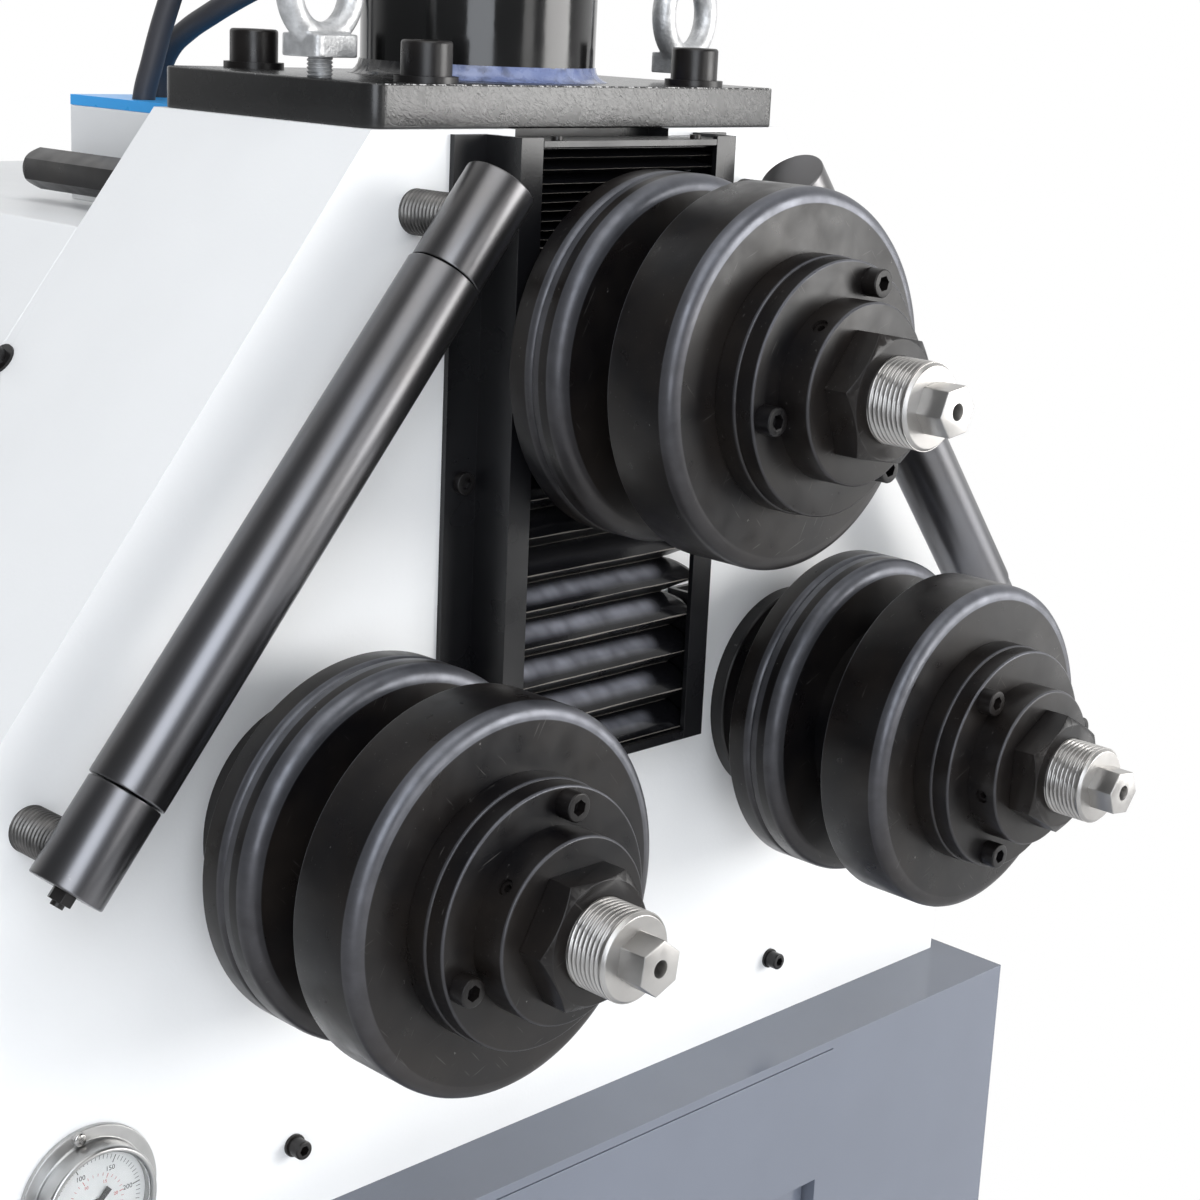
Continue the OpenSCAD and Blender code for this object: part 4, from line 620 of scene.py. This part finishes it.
# %% Screws, nuts and shafts
SHAFT_R, SHOULDER_R, THREAD_R, CORE_R = 25, 35, 19.72, 19.7
THREAD_START, THREAD_END, THREAD_PITCH, DRIVE_END, DRIVE_ACROSS = 192.2, 212, 2.5, 227, 21
drive_turn = {"left": 52, "right": 22, "upper": 38}
for side, (x, z) in roller_axes.items():
    dress(f"{side}_collar_screws", black_turned[side], 0.25)
    dress(f"{side}_nut", black_turned[side], 0.35)
    tail, shoulder = (-152, 31.3) if side == "upper" else (-227, 9.3)
    body = lathe([(0, tail), (SHAFT_R, tail, 1), (SHAFT_R, shoulder), (SHOULDER_R, shoulder, 0.5),
                  (SHOULDER_R, REAR_FACE, 0.5), (SHAFT_R, REAR_FACE), (SHAFT_R, 177, 1), (CORE_R, 177),
                  (CORE_R, 192.6), (0, 192.6)])
    bar = hexagon(DRIVE_ACROSS, THREAD_END - 1, DRIVE_END, drive_turn[side])
    round_off(bar, bar.edges[:], 0.5, 3)
    centre_hole = closed_lathe([(0, 217), (3.3, 217), (3.5, 225.6), (4.4, 229), (0, 229)])
    bar = cut_away(face_outwards(bar), centre_hole)
    cone = lathe([(0, 211.8), (19.55, 211.8, 0.2), (18.2, 213.6, 0.3), (0, 213.6)], 96, closed=False)
    thread = threaded(THREAD_R, THREAD_START, THREAD_END, THREAD_PITCH, 1.3, 96)
    shape = gather(*((part, facing_front(x, z)) for part in (body, thread, cone, bar)))
    finish_piece(f"{side}_shaft_turned", shape, bright_turned[side], roller_body[side],
                 [f"{side}_shaft"], 50)

# %% [markdown]
# ## The slanted guide rollers
# Each guide roller is a long sleeve between two end blocks. The sleeve is a shade thicker
# than the blocks, and a dark seam shows at each joint. The same lathe serves, on an axis that
# leans outwards.

# %% Guide rollers
BLOCK_R, SLEEVE_R, AXLE_R, BLOCK_END, SEAM = 17, 17.8, 9.03, 30, 0.8
STUD_R, STUD_LONG, STUD_PITCH = 10.5, 54, 2.5
guide_low, guide_high = Vector((317, -42, 27)), Vector((112.5, -42, 277.5))
guide_lean = atan2(guide_low.x - guide_high.x, guide_high.z - guide_low.z)
guide_span = (guide_high - guide_low).length
print("guide rollers lean", round(degrees(guide_lean), 1), "degrees over", round(guide_span, 1), "mm")


def on_guide(side_sign, along=0.0):
    return (upright(side_sign * guide_low.x, guide_low.y, guide_low.z)
            @ Matrix.Rotation(-side_sign * guide_lean, 4, "Y") @ Matrix.Translation((0, 0, along)))


guide_steel = {}
for sign, side in ((-1, "left"), (1, "right")):
    centre = spot(sign * guide_low.x, guide_low.y, guide_low.z)
    guide_steel[side] = steel(f"guide_steel_{side}", (0.165, 0.168, 0.182), (0.135, 0.13, 0.127), 0.30, 1.0,
                              centre, 0.7, 0.003, 0.3, 90, 0.01, -sign * guide_lean)
    low, high, bore = BLOCK_END + SEAM, guide_span - BLOCK_END - SEAM, AXLE_R + 0.02
    sleeve = [(bore, low), (SLEEVE_R, low, 0.8), (SLEEVE_R, high, 0.8), (bore, high)]
    finish_piece(f"{side}_guide_sleeve_turned", gather((lathe(sleeve), on_guide(sign))), guide_steel[side],
                 f"{side}_guide", [f"{side}_guide_sleeve"])
low_block = [(0, -16), (BLOCK_R, -16, 0.9), (BLOCK_R, BLOCK_END, 0.6), (AXLE_R, BLOCK_END), (AXLE_R, 15.2),
             (0, 15.2)]
top_block = [(r, guide_span - (z if z > 0 else -20), *rest) for r, z, *rest in low_block]
parts = [(lathe(profile), on_guide(sign)) for sign in (-1, 1) for profile in (low_block, top_block)]
finish_piece("guide_blocks_turned", gather(*parts), guide_steel["left"], "machine",
             ["guide_blocks"])

# %% [markdown]
# The studs between block and panel are threaded rods.

# %% Studs


def on_stud(sign, low):
    return on_guide(sign, 0 if low else guide_span) @ turned(-90, "X")


studs = [(threaded(STUD_R, 1, STUD_LONG, STUD_PITCH, 1.25), on_stud(sign, low))
         for sign in (-1, 1) for low in (True, False)]
stud_steel = steel("stud_steel", (0.07, 0.068, 0.066), (0.15, 0.145, 0.14), 0.36, 0.9, patch_mm=8)
finish_piece("guide_studs_threaded", gather(*studs), stud_steel, "machine",
             ["guide_studs"], 60)
dress("guide_axles", black_steel, 0.3)

# %% [markdown]
# ## The painted sheet metal
# The head, the rear housing, the valve box and the base are folded and welded sheet. Their
# solids only need soft edges, since the fold of a 3 mm sheet has a radius of about a
# millimetre. The head's inner faces and the slot above the bellows are painted black, as
# painted shade for the shadow inside the head.

# %% Housings
SLOT_HALF, SLOT_FROM, SLOT_TO = 60, 1, 20
head = dress("head_frame", white_paint, 1.0, 3)
# Painted shade: the inner faces and the slot take the black paint, standing in for the shadow inside the
# head.
head.data.materials.append(black_satin)
middle = spot(0, 85, 0)
for face in head.data.polygons:
    in_shaded_slot = abs(face.center.x) < SLOT_HALF * MM and SLOT_FROM < face.center.y / MM - PANEL_Y < SLOT_TO
    face.material_index = 1 if in_shaded_slot or face.normal.dot(face.center - middle) < 0 else 0
print(sum(face.material_index for face in head.data.polygons), "inner faces of the head are dark")
for node, finish, width_mm, segments in (
        ("rear_housing", white_paint, 1.2, 3), ("valve_box", white_paint, 0.8, 3),
        ("valve_box_lid", blue_paint, 0.7, 3), ("base_cabinet", grey_paint, 0.9, 3),
        ("cabinet_door", grey_paint, 0.9, 3), ("door_latch", black_plastic, 0.8, 3),
        ("hydraulic_tank", tank_paint, 1.2, 2), ("pump_unit", cast_paint, 0.8, 2),
        ("gear_motor", cast_paint, 0.8, 2), ("rear_bar", black_steel, 0.5, 2)):
    dress(node, finish, width_mm, segments)

# %% [markdown]
# ## The top plate
# The plate was flame-cut and painted, so its sides are rough, and the paint has chipped along
# the upper edge. Its outline starts as one face whose four corners are bevelled round; the
# face is extruded to the plate's thickness and its edges are softened. The chips are a
# pattern that only appears in a narrow band under the top edge.

# %% Top plate
PLATE_HALF, PLATE_FRONT, PLATE_BACK, PLATE_TOP, PLATE_THICK = 136, 4, 167, 334, 20
SHARP_CORNER, ROUND_CORNER, CHIPS_FROM, CHIPS_TO = 2.5, 9, PLATE_TOP - 2.0, PLATE_TOP - 0.5
plate = bmesh.new()
outline = [plate.verts.new((side * PLATE_HALF, y, PLATE_TOP))
           for side, y in ((-1, PLATE_FRONT), (1, PLATE_FRONT), (1, PLATE_BACK), (-1, PLATE_BACK))]
plate.faces.new(outline)
for corner in outline:
    front_right = corner.co.x > 0 and corner.co.y < PLATE_BACK / 2
    round_off(plate, [corner], SHARP_CORNER if front_right else ROUND_CORNER, 8, "VERTICES")
push_out(plate, -PLATE_THICK)
round_off(plate, [e for e in plate.edges if abs(e.verts[0].co.z - e.verts[1].co.z) < 0.01], 1.0, 3)
face_outwards(plate)
plate.normal_update()
for face in plate.faces:
    face.material_index = 1 if face.normal.y < -0.3 and abs(face.normal.x) < 0.2 else 0


def plate_paint(name, rough, wrinkle_mm, wrinkle_high_mm, chip_low, chip_high, gloss=0.5):
    material, tree, shader, place = start_finish(name, rough, Specular_IOR_Level=gloss)
    height = add(tree, "SeparateXYZ", {"Vector": place}).outputs["Z"]
    under_edge = ramp(tree, height, (SHAFTS_Z + CHIPS_FROM) * MM, (SHAFTS_Z + CHIPS_TO) * MM)
    nick = combine(tree, "MULTIPLY", cloud(tree, place, 1 / 0.42, 6.0, Roughness=0.7), under_edge)
    body_colour = shade(tree, spread(tree, place, 30, 0, 1), (0.011, 0.011, 0.011), (0.014, 0.014, 0.014))
    coat(tree, shader, shade(tree, ramp(tree, nick, chip_low, chip_high), body_colour, (0.55, 0.54, 0.53)),
         spread(tree, place, 9, rough - 0.02, rough + 0.03, 4.0))
    slanted = add(tree, "Mapping", {"Vector": place}, vector_type="TEXTURE", Rotation=(0, 0.7, 0),
                  Scale=(1, 1, 0.4))
    emboss(tree, shader, cloud(tree, slanted.outputs[0], wrinkle_mm, 3.0, Distortion=1.6), wrinkle_high_mm)
    return material


plate_finishes = [plate_paint("plate_black_smooth", 0.26, 14, 0.05, 0.66, 0.70),
                  plate_paint("plate_black_flame_cut", 0.26, 3.5, 0.18, 0.495, 0.56, 0.72)]
finish_piece("top_plate_cut", gather((plate, upright(0, 0, 0))), plate_finishes, "machine",
             ["top_plate"])
dress("plate_screws", black_steel, 0.4)

# %% [markdown]
# ## The cylinder
# The cylinder's barrel is a thick tube in gloss black paint, welded to the plate. A weld is a
# row of small overlapping scallops, so its turned fillet is lifted by a wave round the axis,
# with a little noise so that no two scallops match. Bluish residue lies on its front.

# %% Cylinder and weld
CYL_R, CYL_Y, ROD_HOLE_R, CAP_SEAT_R = 59.5, 85.5, 22.55, 45
SCALLOPS, SCALLOP_LIFT, UNEVEN_LIFT = 70, 0.0012, 0.008
cylinder_paint = paint("cylinder_gloss", (0.007, 0.007, 0.007), 0.13, 16.0, 0.07, 0.3)
barrel = [(ROD_HOLE_R, PLATE_TOP), (CYL_R, PLATE_TOP), (CYL_R, 595.7, 0.5), (CAP_SEAT_R, 595.7),
          (CAP_SEAT_R, 364), (ROD_HOLE_R, 364)]
finish_piece("barrel_turned", gather((lathe(barrel, 128), upright(0, CYL_Y, 0))), cylinder_paint, "machine",
             ["cylinder_barrel"])
dress("cylinder_cap", cylinder_paint, 0.6, 3)
weld = lathe([(CYL_R - 1, 334.1), (CYL_R + 6.6, 334.1), (CYL_R + 4.4, 334.9), (CYL_R + 2.4, 336.4),
              (CYL_R + 1.0, 338.6), (CYL_R + 0.2, 341.2), (CYL_R - 1, 341.2)], 220)
for vert in weld.verts:
    around = atan2(vert.co.y, vert.co.x)
    lift = 1 + SCALLOP_LIFT * sin(around * SCALLOPS) + UNEVEN_LIFT * noise.noise(vert.co * 0.12)
    vert.co.x, vert.co.y = vert.co.x * lift, vert.co.y * lift
residue, tree, shader, place = start_finish("weld_residue", 0.2)
depth = add(tree, "SeparateXYZ", {"Vector": place}).outputs["Y"]
front = ramp(tree, depth, (PANEL_Y + CYL_Y - 26) * MM, (PANEL_Y + CYL_Y - 36) * MM)
chalky = combine(tree, "MULTIPLY", front, spread(tree, place, 7, 0.55, 1.0, 5.0, (0.35, 0.5)))
chalk = shade(tree, spread(tree, place, 10, 0, 1, 4.0), (0.09, 0.12, 0.25), (0.21, 0.25, 0.40))
coat(tree, shader, shade(tree, chalky, (0.01, 0.01, 0.011), chalk), spread(tree, place, 6, 0.12, 0.4, 3.0))
finish_piece("cylinder_weld", gather((weld, upright(0, CYL_Y, 0))), residue, "machine",
             smooth=50)

# %% [markdown]
# ## The eye bolts
# An eye bolt is a forging: a ring that flows into a neck, with a threaded shank below. The
# ring is an oval section spun round, the neck is a block with round corners, and a voxel
# remesh melts the two together, which gives the soft fillet of a forging. The thread is
# added afterwards, because a remesh would wipe it out.

# %% Eye bolts
EYE_R, EYE_WIDE, EYE_THICK, EYE_HIGH, EYE_Y = 21, 6.2, 6.4, 30.5, 58
NECK_SIZE, VOXEL_MM, SMOOTHING = (29, 24, 10.5), 0.8, 3


def forged(*parts):
    """Melts several closed shapes into one with a voxel remesh, then relaxes it."""
    lump = show("forging", mesh_of("forging", face_outwards(gather(*parts))))
    modify(lump, "REMESH", mode="VOXEL", voxel_size=VOXEL_MM)
    modify(lump, "SMOOTH", factor=0.5, iterations=SMOOTHING)
    return shape_after(lump)


def eye_ring():
    ring = bmesh.new()
    made = bmesh.ops.create_circle(ring, segments=20, radius=1)
    for vert in made["verts"]:
        vert.co = Vector((EYE_R + vert.co.x * EYE_WIDE, 0, vert.co.y * EYE_THICK))
    spin(ring, 64)
    return ring


def eye_neck(lift):
    neck = bmesh.new()
    bmesh.ops.create_cube(neck, size=1)
    bmesh.ops.scale(neck, vec=NECK_SIZE, verts=neck.verts)
    bmesh.ops.translate(neck, vec=(0, 0, lift + NECK_SIZE[2] / 2), verts=neck.verts)
    round_off(neck, [e for e in neck.edges if abs(e.verts[0].co.z - e.verts[1].co.z) > 1], 3.5, 4)
    return neck


eye_parts = []
for x, lift, turn in ((-123, 9.2, 9), (123, 4.8, 11)):
    stand = upright(x, EYE_Y, PLATE_TOP) @ turned(turn, "Z")
    upper = forged((eye_ring(), Matrix.Translation((0, 0, lift + EYE_HIGH)) @ turned(90, "X")),
                   (eye_neck(lift), Matrix()))
    eye_parts += [(upper, stand), (threaded(6, -13, lift + 0.5, 1.75, 0.9, 40), stand)]
finish_piece("eye_bolts_forged", gather(*eye_parts), zinc, "machine", ["eye_bolts"], 50)

# %% [markdown]
# ## Rails, bars and screws round the bellows
# The rails are folded black sheet. They stand in front of the panel, on both sides of the
# bellows. The screws are black too, and every head keeps its socket.

# %% Rails, bars and screws
for node in ("left_rail", "right_rail", "bellows_bars"):
    dress(node, black_satin, 0.4)
dress("frame_screws", black_steel, 0.2)
dress("shaft_bearings", black_steel, 0.3)

# %% [markdown]
# ## The bellows
# The bellows are coated sheets folded in pleats, and they cover the slot that the slide runs
# in. Each pleat has a sharp crest in front and a valley behind, and its panels bulge a little.
# The sheet is a zigzag chain extruded across in narrow steps, so that its points can then be
# moved: the valleys are drawn in at both ends and the crests waver slightly.

# %% Bellows
SHEET_HALF, SHEET_THICK, STEP_MM, PANEL_STEPS, VALLEY_SHARE = 70, 0.7, 2.5, 5, 0.56
DEEP_TAPER, SLIGHT_TAPER, TAPER_CHANGES_Z = 14, 5, 68


def bellows(name, node, crests, bulge, waver, seed):
    sheet = bmesh.new()
    low, high = crests[0], crests[-1]
    pitch = (high - low) / (len(crests) - 1)
    chain = []
    for below, over in zip(crests, crests[1:]):
        valley = below + (over - below) * VALLEY_SHARE
        for i in range(2 * PANEL_STEPS):
            rising = i <= PANEL_STEPS
            depth = i / PANEL_STEPS if rising else 2 - i / PANEL_STEPS
            height = below + (valley - below) * depth if rising else over - (over - valley) * depth
            swell = bulge * sin(pi * depth) * (1 if i < PANEL_STEPS else 0.25)
            y = CREST_Y + (VALLEY_Y - CREST_Y) * depth
            chain.append(sheet.verts.new((-SHEET_HALF, y, height + swell)))
    chain.append(sheet.verts.new((-SHEET_HALF, CREST_Y, high)))
    for a, b in zip(chain, chain[1:]):
        sheet.edges.new((a, b))
    for step in range(round(2 * SHEET_HALF / STEP_MM)):
        last_x = STEP_MM * step - SHEET_HALF
        edges = [e for e in sheet.edges if all(abs(vert.co.x - last_x) < 0.01 for vert in e.verts)]
        made = bmesh.ops.extrude_edge_only(sheet, edges=edges)
        bmesh.ops.translate(sheet, verts=new_verts(made), vec=(STEP_MM, 0, 0))
    for vert in sheet.verts:
        depth = (vert.co.y - CREST_Y) / (VALLEY_Y - CREST_Y)
        taper = DEEP_TAPER if vert.co.z > TAPER_CHANGES_Z else SLIGHT_TAPER
        half = SHEET_HALF - SHEET_THICK - taper * depth
        drift = noise.noise(Vector((vert.co.x * 0.03, vert.co.z * 0.09, seed)))
        edge = max(0.0, min(1.0, (SHEET_HALF - abs(vert.co.x)) / 10, (vert.co.z - low) / pitch,
                            (high - vert.co.z) / pitch))
        vert.co.x *= half / SHEET_HALF
        vert.co.z += waver * drift * edge
        sway = noise.noise(Vector((vert.co.x * 0.05, vert.co.z * 0.05, seed + 9)))
        vert.co.y += 0.8 * waver * sway * edge
    sheet.normal_update()
    # Upward-facing panels take the sheet with the painted highlights, the undersides the plain sheet.
    for face in sheet.faces:
        face.material_index = 0 if face.normal.z * face.normal.y < 0 else 1
    piece = finish_piece(name, gather((sheet, upright(0, 0, 0))), [vinyl, underside], None,
                         [node], 40)
    modify(piece, "SOLIDIFY", thickness=SHEET_THICK * MM, offset=0.0)
    return piece


lower_crests = (3.9, 25.0, 45.8, 65.7, 84.8, 102.7, 121.5, 140.3, 159.2)
upper_crests = (260.8, 264.8, 269.0, 273.4, 278.0, 282.0, 286.2, 290.5, 296.9, 302.4, 306.7)
lower_sheet = bellows("lower_bellows_sheet", "lower_bellows", lower_crests, 1.5, 0.35, 3.0)
upper_sheet = bellows("upper_bellows_sheet", "upper_bellows", upper_crests, 0.2, 0.15, 5.0)
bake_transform(lower_sheet)
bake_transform(upper_sheet)

# %% [markdown]
# ## The hoses
# Two hydraulic hoses run from the valve box to the cylinder. They are Bezier curves with
# automatic handles, through the same points as the solids they stand for.

# %% Hoses
HOSE_R = 6
hose_routes = {
    "hose_to_cap": [
        (-92, 246, 290), (-92, 246, 302), (-92, 245.5, 314), (-89.5, 241, 333), (-87, 237.5, 348.5),
        (-84.3, 233, 364), (-79.5, 227, 387), (-75, 223, 412), (-71.5, 221, 441), (-69.5, 220.5, 472),
        (-67, 220, 505), (-62.5, 217, 538), (-54.5, 210, 569), (-45, 200, 592), (-37, 189, 605),
        (-32.5, 178, 609.5), (-32, 172, 610), (-32, 166, 610)],
    "hose_to_gland": [
        (-64, 272, 290), (-64, 272, 302), (-64, 272, 314), (-64, 270, 328), (-63, 262.5, 340),
        (-61.5, 249, 349.5), (-59.5, 232, 358), (-56.5, 215.5, 366), (-51, 201, 373.5), (-43, 188.5, 380.5),
        (-35, 179, 386), (-30, 173, 388), (-30, 167, 388)],
}
for node, route in hose_routes.items():
    curve = bpy.data.curves.new(node + "_rubber", "CURVE")
    curve.dimensions, curve.bevel_depth, curve.bevel_resolution = "3D", HOSE_R * MM, 8
    curve.resolution_u, curve.use_fill_caps = 6, True
    line = curve.splines.new("BEZIER")
    line.bezier_points.add(len(route) - 1)
    for knot, point in zip(line.bezier_points, route):
        knot.co = spot(*point)
        knot.handle_left_type = knot.handle_right_type = "AUTO"
    curve.materials.append(hose_rubber)
    hose = show(node + "_rubber", curve)
    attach(hose, "machine")
    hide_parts(node)
    print(hose.name, "has", len(route), "points")
dress("hose_fittings", bright_steel, 0.3)

# %% [markdown]
# ## The pressure gauge
# The gauge has a round case with a flange and a satin bezel, turned in one profile, and a
# white dial behind a window. The dial's marks are small flat bars laid round a circle, and its
# figures are plain text turned into mesh.

# %% Gauge case and window
DIAL_TOP, SCREW_CIRCLE = 6.5, 32.45
on_gauge = facing_front(-292, -154)


def round_dial(radius, angle, height=0.0):
    return on_gauge @ Matrix.Translation((radius * cos(radians(angle)), radius * sin(radians(angle)), height))


case = [(0, 0), (35.5, 0, 0.3), (35.5, 2.5, 0.7), (29.6, 2.5, 0.3), (29, 3.4), (29, 13, 1.8), (26.4, 13, 0.8),
        (26.0, 10.6), (26, 5.5), (0, 5.5)]
finish_piece("gauge_case_turned", gather((lathe(case, 96), on_gauge)), satin_steel, "machine",
             ["gauge_case"])
glass = lathe([(0, 10), (25.95, 10), (25.95, 11.2), (0, 11.2)], 64, closed=False)
finish_piece("gauge_window_pane", gather((glass, on_gauge)), window, "machine", ["gauge_glass"])
screws = []
for angle in (100, 220, 340):
    head = cut_away(closed_lathe([(0, 2.4), (3.4, 2.4), (3.4, 4.6, 1.0), (0, 5.4)]), hexagon(2.6, 4.0, 6.4))
    screws.append((head, round_dial(SCREW_CIRCLE, angle)))
finish_piece("gauge_screws", gather(*screws), bright_steel, "machine")

# %% Gauge dial and needle
dial_paint = paint("dial_white", (0.85, 0.85, 0.84), 0.4, 2.0, 0.01)
ink_black = paint("dial_ink_black", (0.02, 0.02, 0.02), 0.5, 2.0, 0.01)
ink_red = paint("dial_ink_red", (0.55, 0.03, 0.02), 0.5, 2.0, 0.01)
dial = lathe([(0, 5.5), (25.9, 5.5), (25.9, DIAL_TOP), (0, DIAL_TOP)], 64, closed=False)
pin = lathe([(0, 6.4), (3.4, 6.4), (3.4, 7.1, 0.2), (0, 7.1)], 32, closed=False)
finish_piece("gauge_dial_face", gather((dial, on_gauge), (pin, on_gauge)), dial_paint, "machine",
             ["gauge_dial"])


def dial_bar(radius_low, radius_high, width, angle):
    bar = bmesh.new()
    bmesh.ops.create_cube(bar, size=1)
    bmesh.ops.scale(bar, vec=(radius_high - radius_low, width, 0.06), verts=bar.verts)
    bmesh.ops.translate(bar, vec=((radius_high + radius_low) / 2, 0, DIAL_TOP + 0.04), verts=bar.verts)
    return bar, on_gauge @ turned(angle, "Z")


def dial_text(words, size, radius, angle):
    letters = bpy.data.curves.new("figure", "FONT")
    letters.body, letters.size, letters.extrude = words, size, 0.03
    letters.align_x = letters.align_y = "CENTER"
    carrier = show("figure", letters)
    bpy.context.view_layer.update()
    outline = bpy.data.meshes.new_from_object(carrier.evaluated_get(bpy.context.evaluated_depsgraph_get()))
    figures = bmesh.new()
    figures.from_mesh(outline)
    bpy.data.meshes.remove(outline)
    bpy.data.curves.remove(letters)
    return figures, round_dial(radius, angle, DIAL_TOP + 0.05)


SCALE_START, SCALE_SWEEP, MARKS, FIGURES = 225, 270, 50, 5
black_marks, red_marks = [], []
for step in range(MARKS + 1):
    angle = SCALE_START - SCALE_SWEEP * step / MARKS
    long_mark = step % 10 == 0
    black_marks.append(dial_bar(19.6 if long_mark else 21.2, 23.4, 0.42 if long_mark else 0.22, angle))
    if step % 2 == 0:
        red_marks.append(dial_bar(12.4 if long_mark else 13.2, 14.6, 0.3 if long_mark else 0.18, angle))
for k in range(FIGURES + 1):
    angle = SCALE_START - SCALE_SWEEP / FIGURES * k
    black_marks.append(dial_text(str(k * 50), 3.3, 16.9, angle))
    red_marks.append(dial_text(str(k * 5), 2.2, 10.6, angle))
black_marks.append(dial_text("bar", 2.6, 17.5, 270))
finish_piece("gauge_marks_black", gather(*black_marks), ink_black, "machine", outwards=False)
finish_piece("gauge_marks_red", gather(*red_marks), ink_red, "machine", outwards=False)
dress("gauge_needle", black_plastic, 0.0)

# %% [markdown]
# ## Works inside the machine
# The slide, the gears and the piston hardly show, but a finish on each keeps the machine
# honest from every side. These solids stay as they are and only get a material.

# %% Finishes for the solids that stay
keeps = {
    "slide_block": black_steel, "slide_bearings": bright_steel, "piston_rod": chrome,
    "slide_ways": black_steel, "drive_pinion": bright_steel, "left_gear": bright_steel,
    "right_gear": bright_steel,
}
for node, finish in keeps.items():
    solid = frame["nodes"][node]
    solid.data.materials.clear()
    solid.data.materials.append(finish)
print(len(keeps), "solids keep their shape")

# %% [markdown]
# ## Floor and light
# The machine stands on a pale floor in a white studio. Near it the floor is real and takes the
# shadow; further out it turns pure white for the camera, and so does the world behind it.
# Polished metal sees the same white backdrop, while the room behind the camera is dimmer,
# which gives black gloss its depth.

# %% Floor and world
FLOOR_FADE_M, FILL_MATT, FILL_GLOSS = (0.75, 1.12), 0.43, 0.16
floor_shape = bmesh.new()
bmesh.ops.create_grid(floor_shape, x_segments=1, y_segments=1, size=9)
floor = show("studio_floor", mesh_of("studio_floor", floor_shape))
floor_paint = paint("floor_paint", (0.82, 0.82, 0.82), 0.6, 3.0, 0.01, 0.01, Specular_IOR_Level=0.2)
floor.data.materials.append(floor_paint)
tree = floor_paint.node_tree
away = add(tree, "VectorMath", {0: add(tree, "TexCoord").outputs["Object"]}, operation="LENGTH")
rays = add(tree, "LightPath").outputs
direct = combine(tree, "MAXIMUM", rays["Is Camera Ray"], rays["Is Transmission Ray"])
share = combine(tree, "MULTIPLY", direct, ramp(tree, away.outputs["Value"], *FLOOR_FADE_M))
white = add(tree, "Emission", Color=(1, 1, 1, 1), Strength=1.0)
cover = add(tree, "MixShader", {0: share, 1: tree.nodes["Principled BSDF"].outputs[0], 2: white.outputs[0]})
tree.links.new(cover.outputs[0], tree.nodes["Material Output"].inputs["Surface"])

world = bpy.data.worlds.new("studio")
scene.world = world
world.use_nodes = True
tree = world.node_tree
background = tree.nodes["Background"]
background.inputs["Color"].default_value = (0.95, 0.97, 1.0, 1)
white = add(tree, "Background", Color=(1, 1, 1, 1), Strength=1.0)
heading = add(tree, "VectorMath", {0: add(tree, "TexCoord").outputs["Generated"]}, operation="DOT_PRODUCT")
heading.inputs[1].default_value = (look.x, look.y, 0.25)
behind = ramp(tree, heading.outputs["Value"], 0.1, 0.6)
rays = add(tree, "LightPath").outputs
fill = ramp(tree, rays["Is Glossy Ray"], 0.0, 1.0, FILL_MATT, FILL_GLOSS)
tree.links.new(fill, background.inputs["Strength"])
mirrored = combine(tree, "MULTIPLY", rays["Is Glossy Ray"], behind)
direct = combine(tree, "MAXIMUM", rays["Is Camera Ray"], rays["Is Transmission Ray"])
direct = combine(tree, "MAXIMUM", direct, mirrored)
choice = add(tree, "MixShader", {0: direct, 1: background.outputs[0], 2: white.outputs[0]})
tree.links.new(choice.outputs[0], tree.nodes["World Output"].inputs["Surface"])
print("world ready")

# %% [markdown]
# Five soft boxes do the rest. The one on the right stands so that the front of the plate, the
# cylinder and the bars mirror it; the left one draws the highlights on the rounded rims.

# %% Lamps


def soft_box(name, place, aim, width, height, radiance, colour=(1, 1, 1)):
    lamp = bpy.data.lights.new(name, "AREA")
    lamp.shape, lamp.size, lamp.size_y = "RECTANGLE", width, height
    lamp.energy, lamp.color = radiance * pi * width * height, colour
    box = show(name, lamp)
    direction = aim - place
    box.matrix_world = Matrix.Translation(place) @ direction.to_track_quat("-Z", "Y").to_matrix().to_4x4()
    print(name, round(lamp.energy, 1), "W")


target = spot(0, 0, 100)
soft_box("box_left", spot(-1600, -1800, 950), target, 1.2, 2.4, 4.4, (0.90, 0.94, 1.0))
soft_box("box_front", spot(300, -2600, 450), target, 0.5, 1.5, 2.5, (1.0, 0.99, 0.98))
soft_box("box_right", spot(1740, -2040, 600), spot(0, 0, 600), 1.5, 1.45, 8.0, (1.0, 0.99, 0.975))
soft_box("box_low", spot(2150, -1050, -300), spot(100, -140, 100), 1.0, 0.8, 2.5, (1.0, 0.99, 0.98))
soft_box("box_above", spot(-500, -800, 2300), target, 1.8, 1.6, 2.4)
scene.view_settings.view_transform = "Standard"
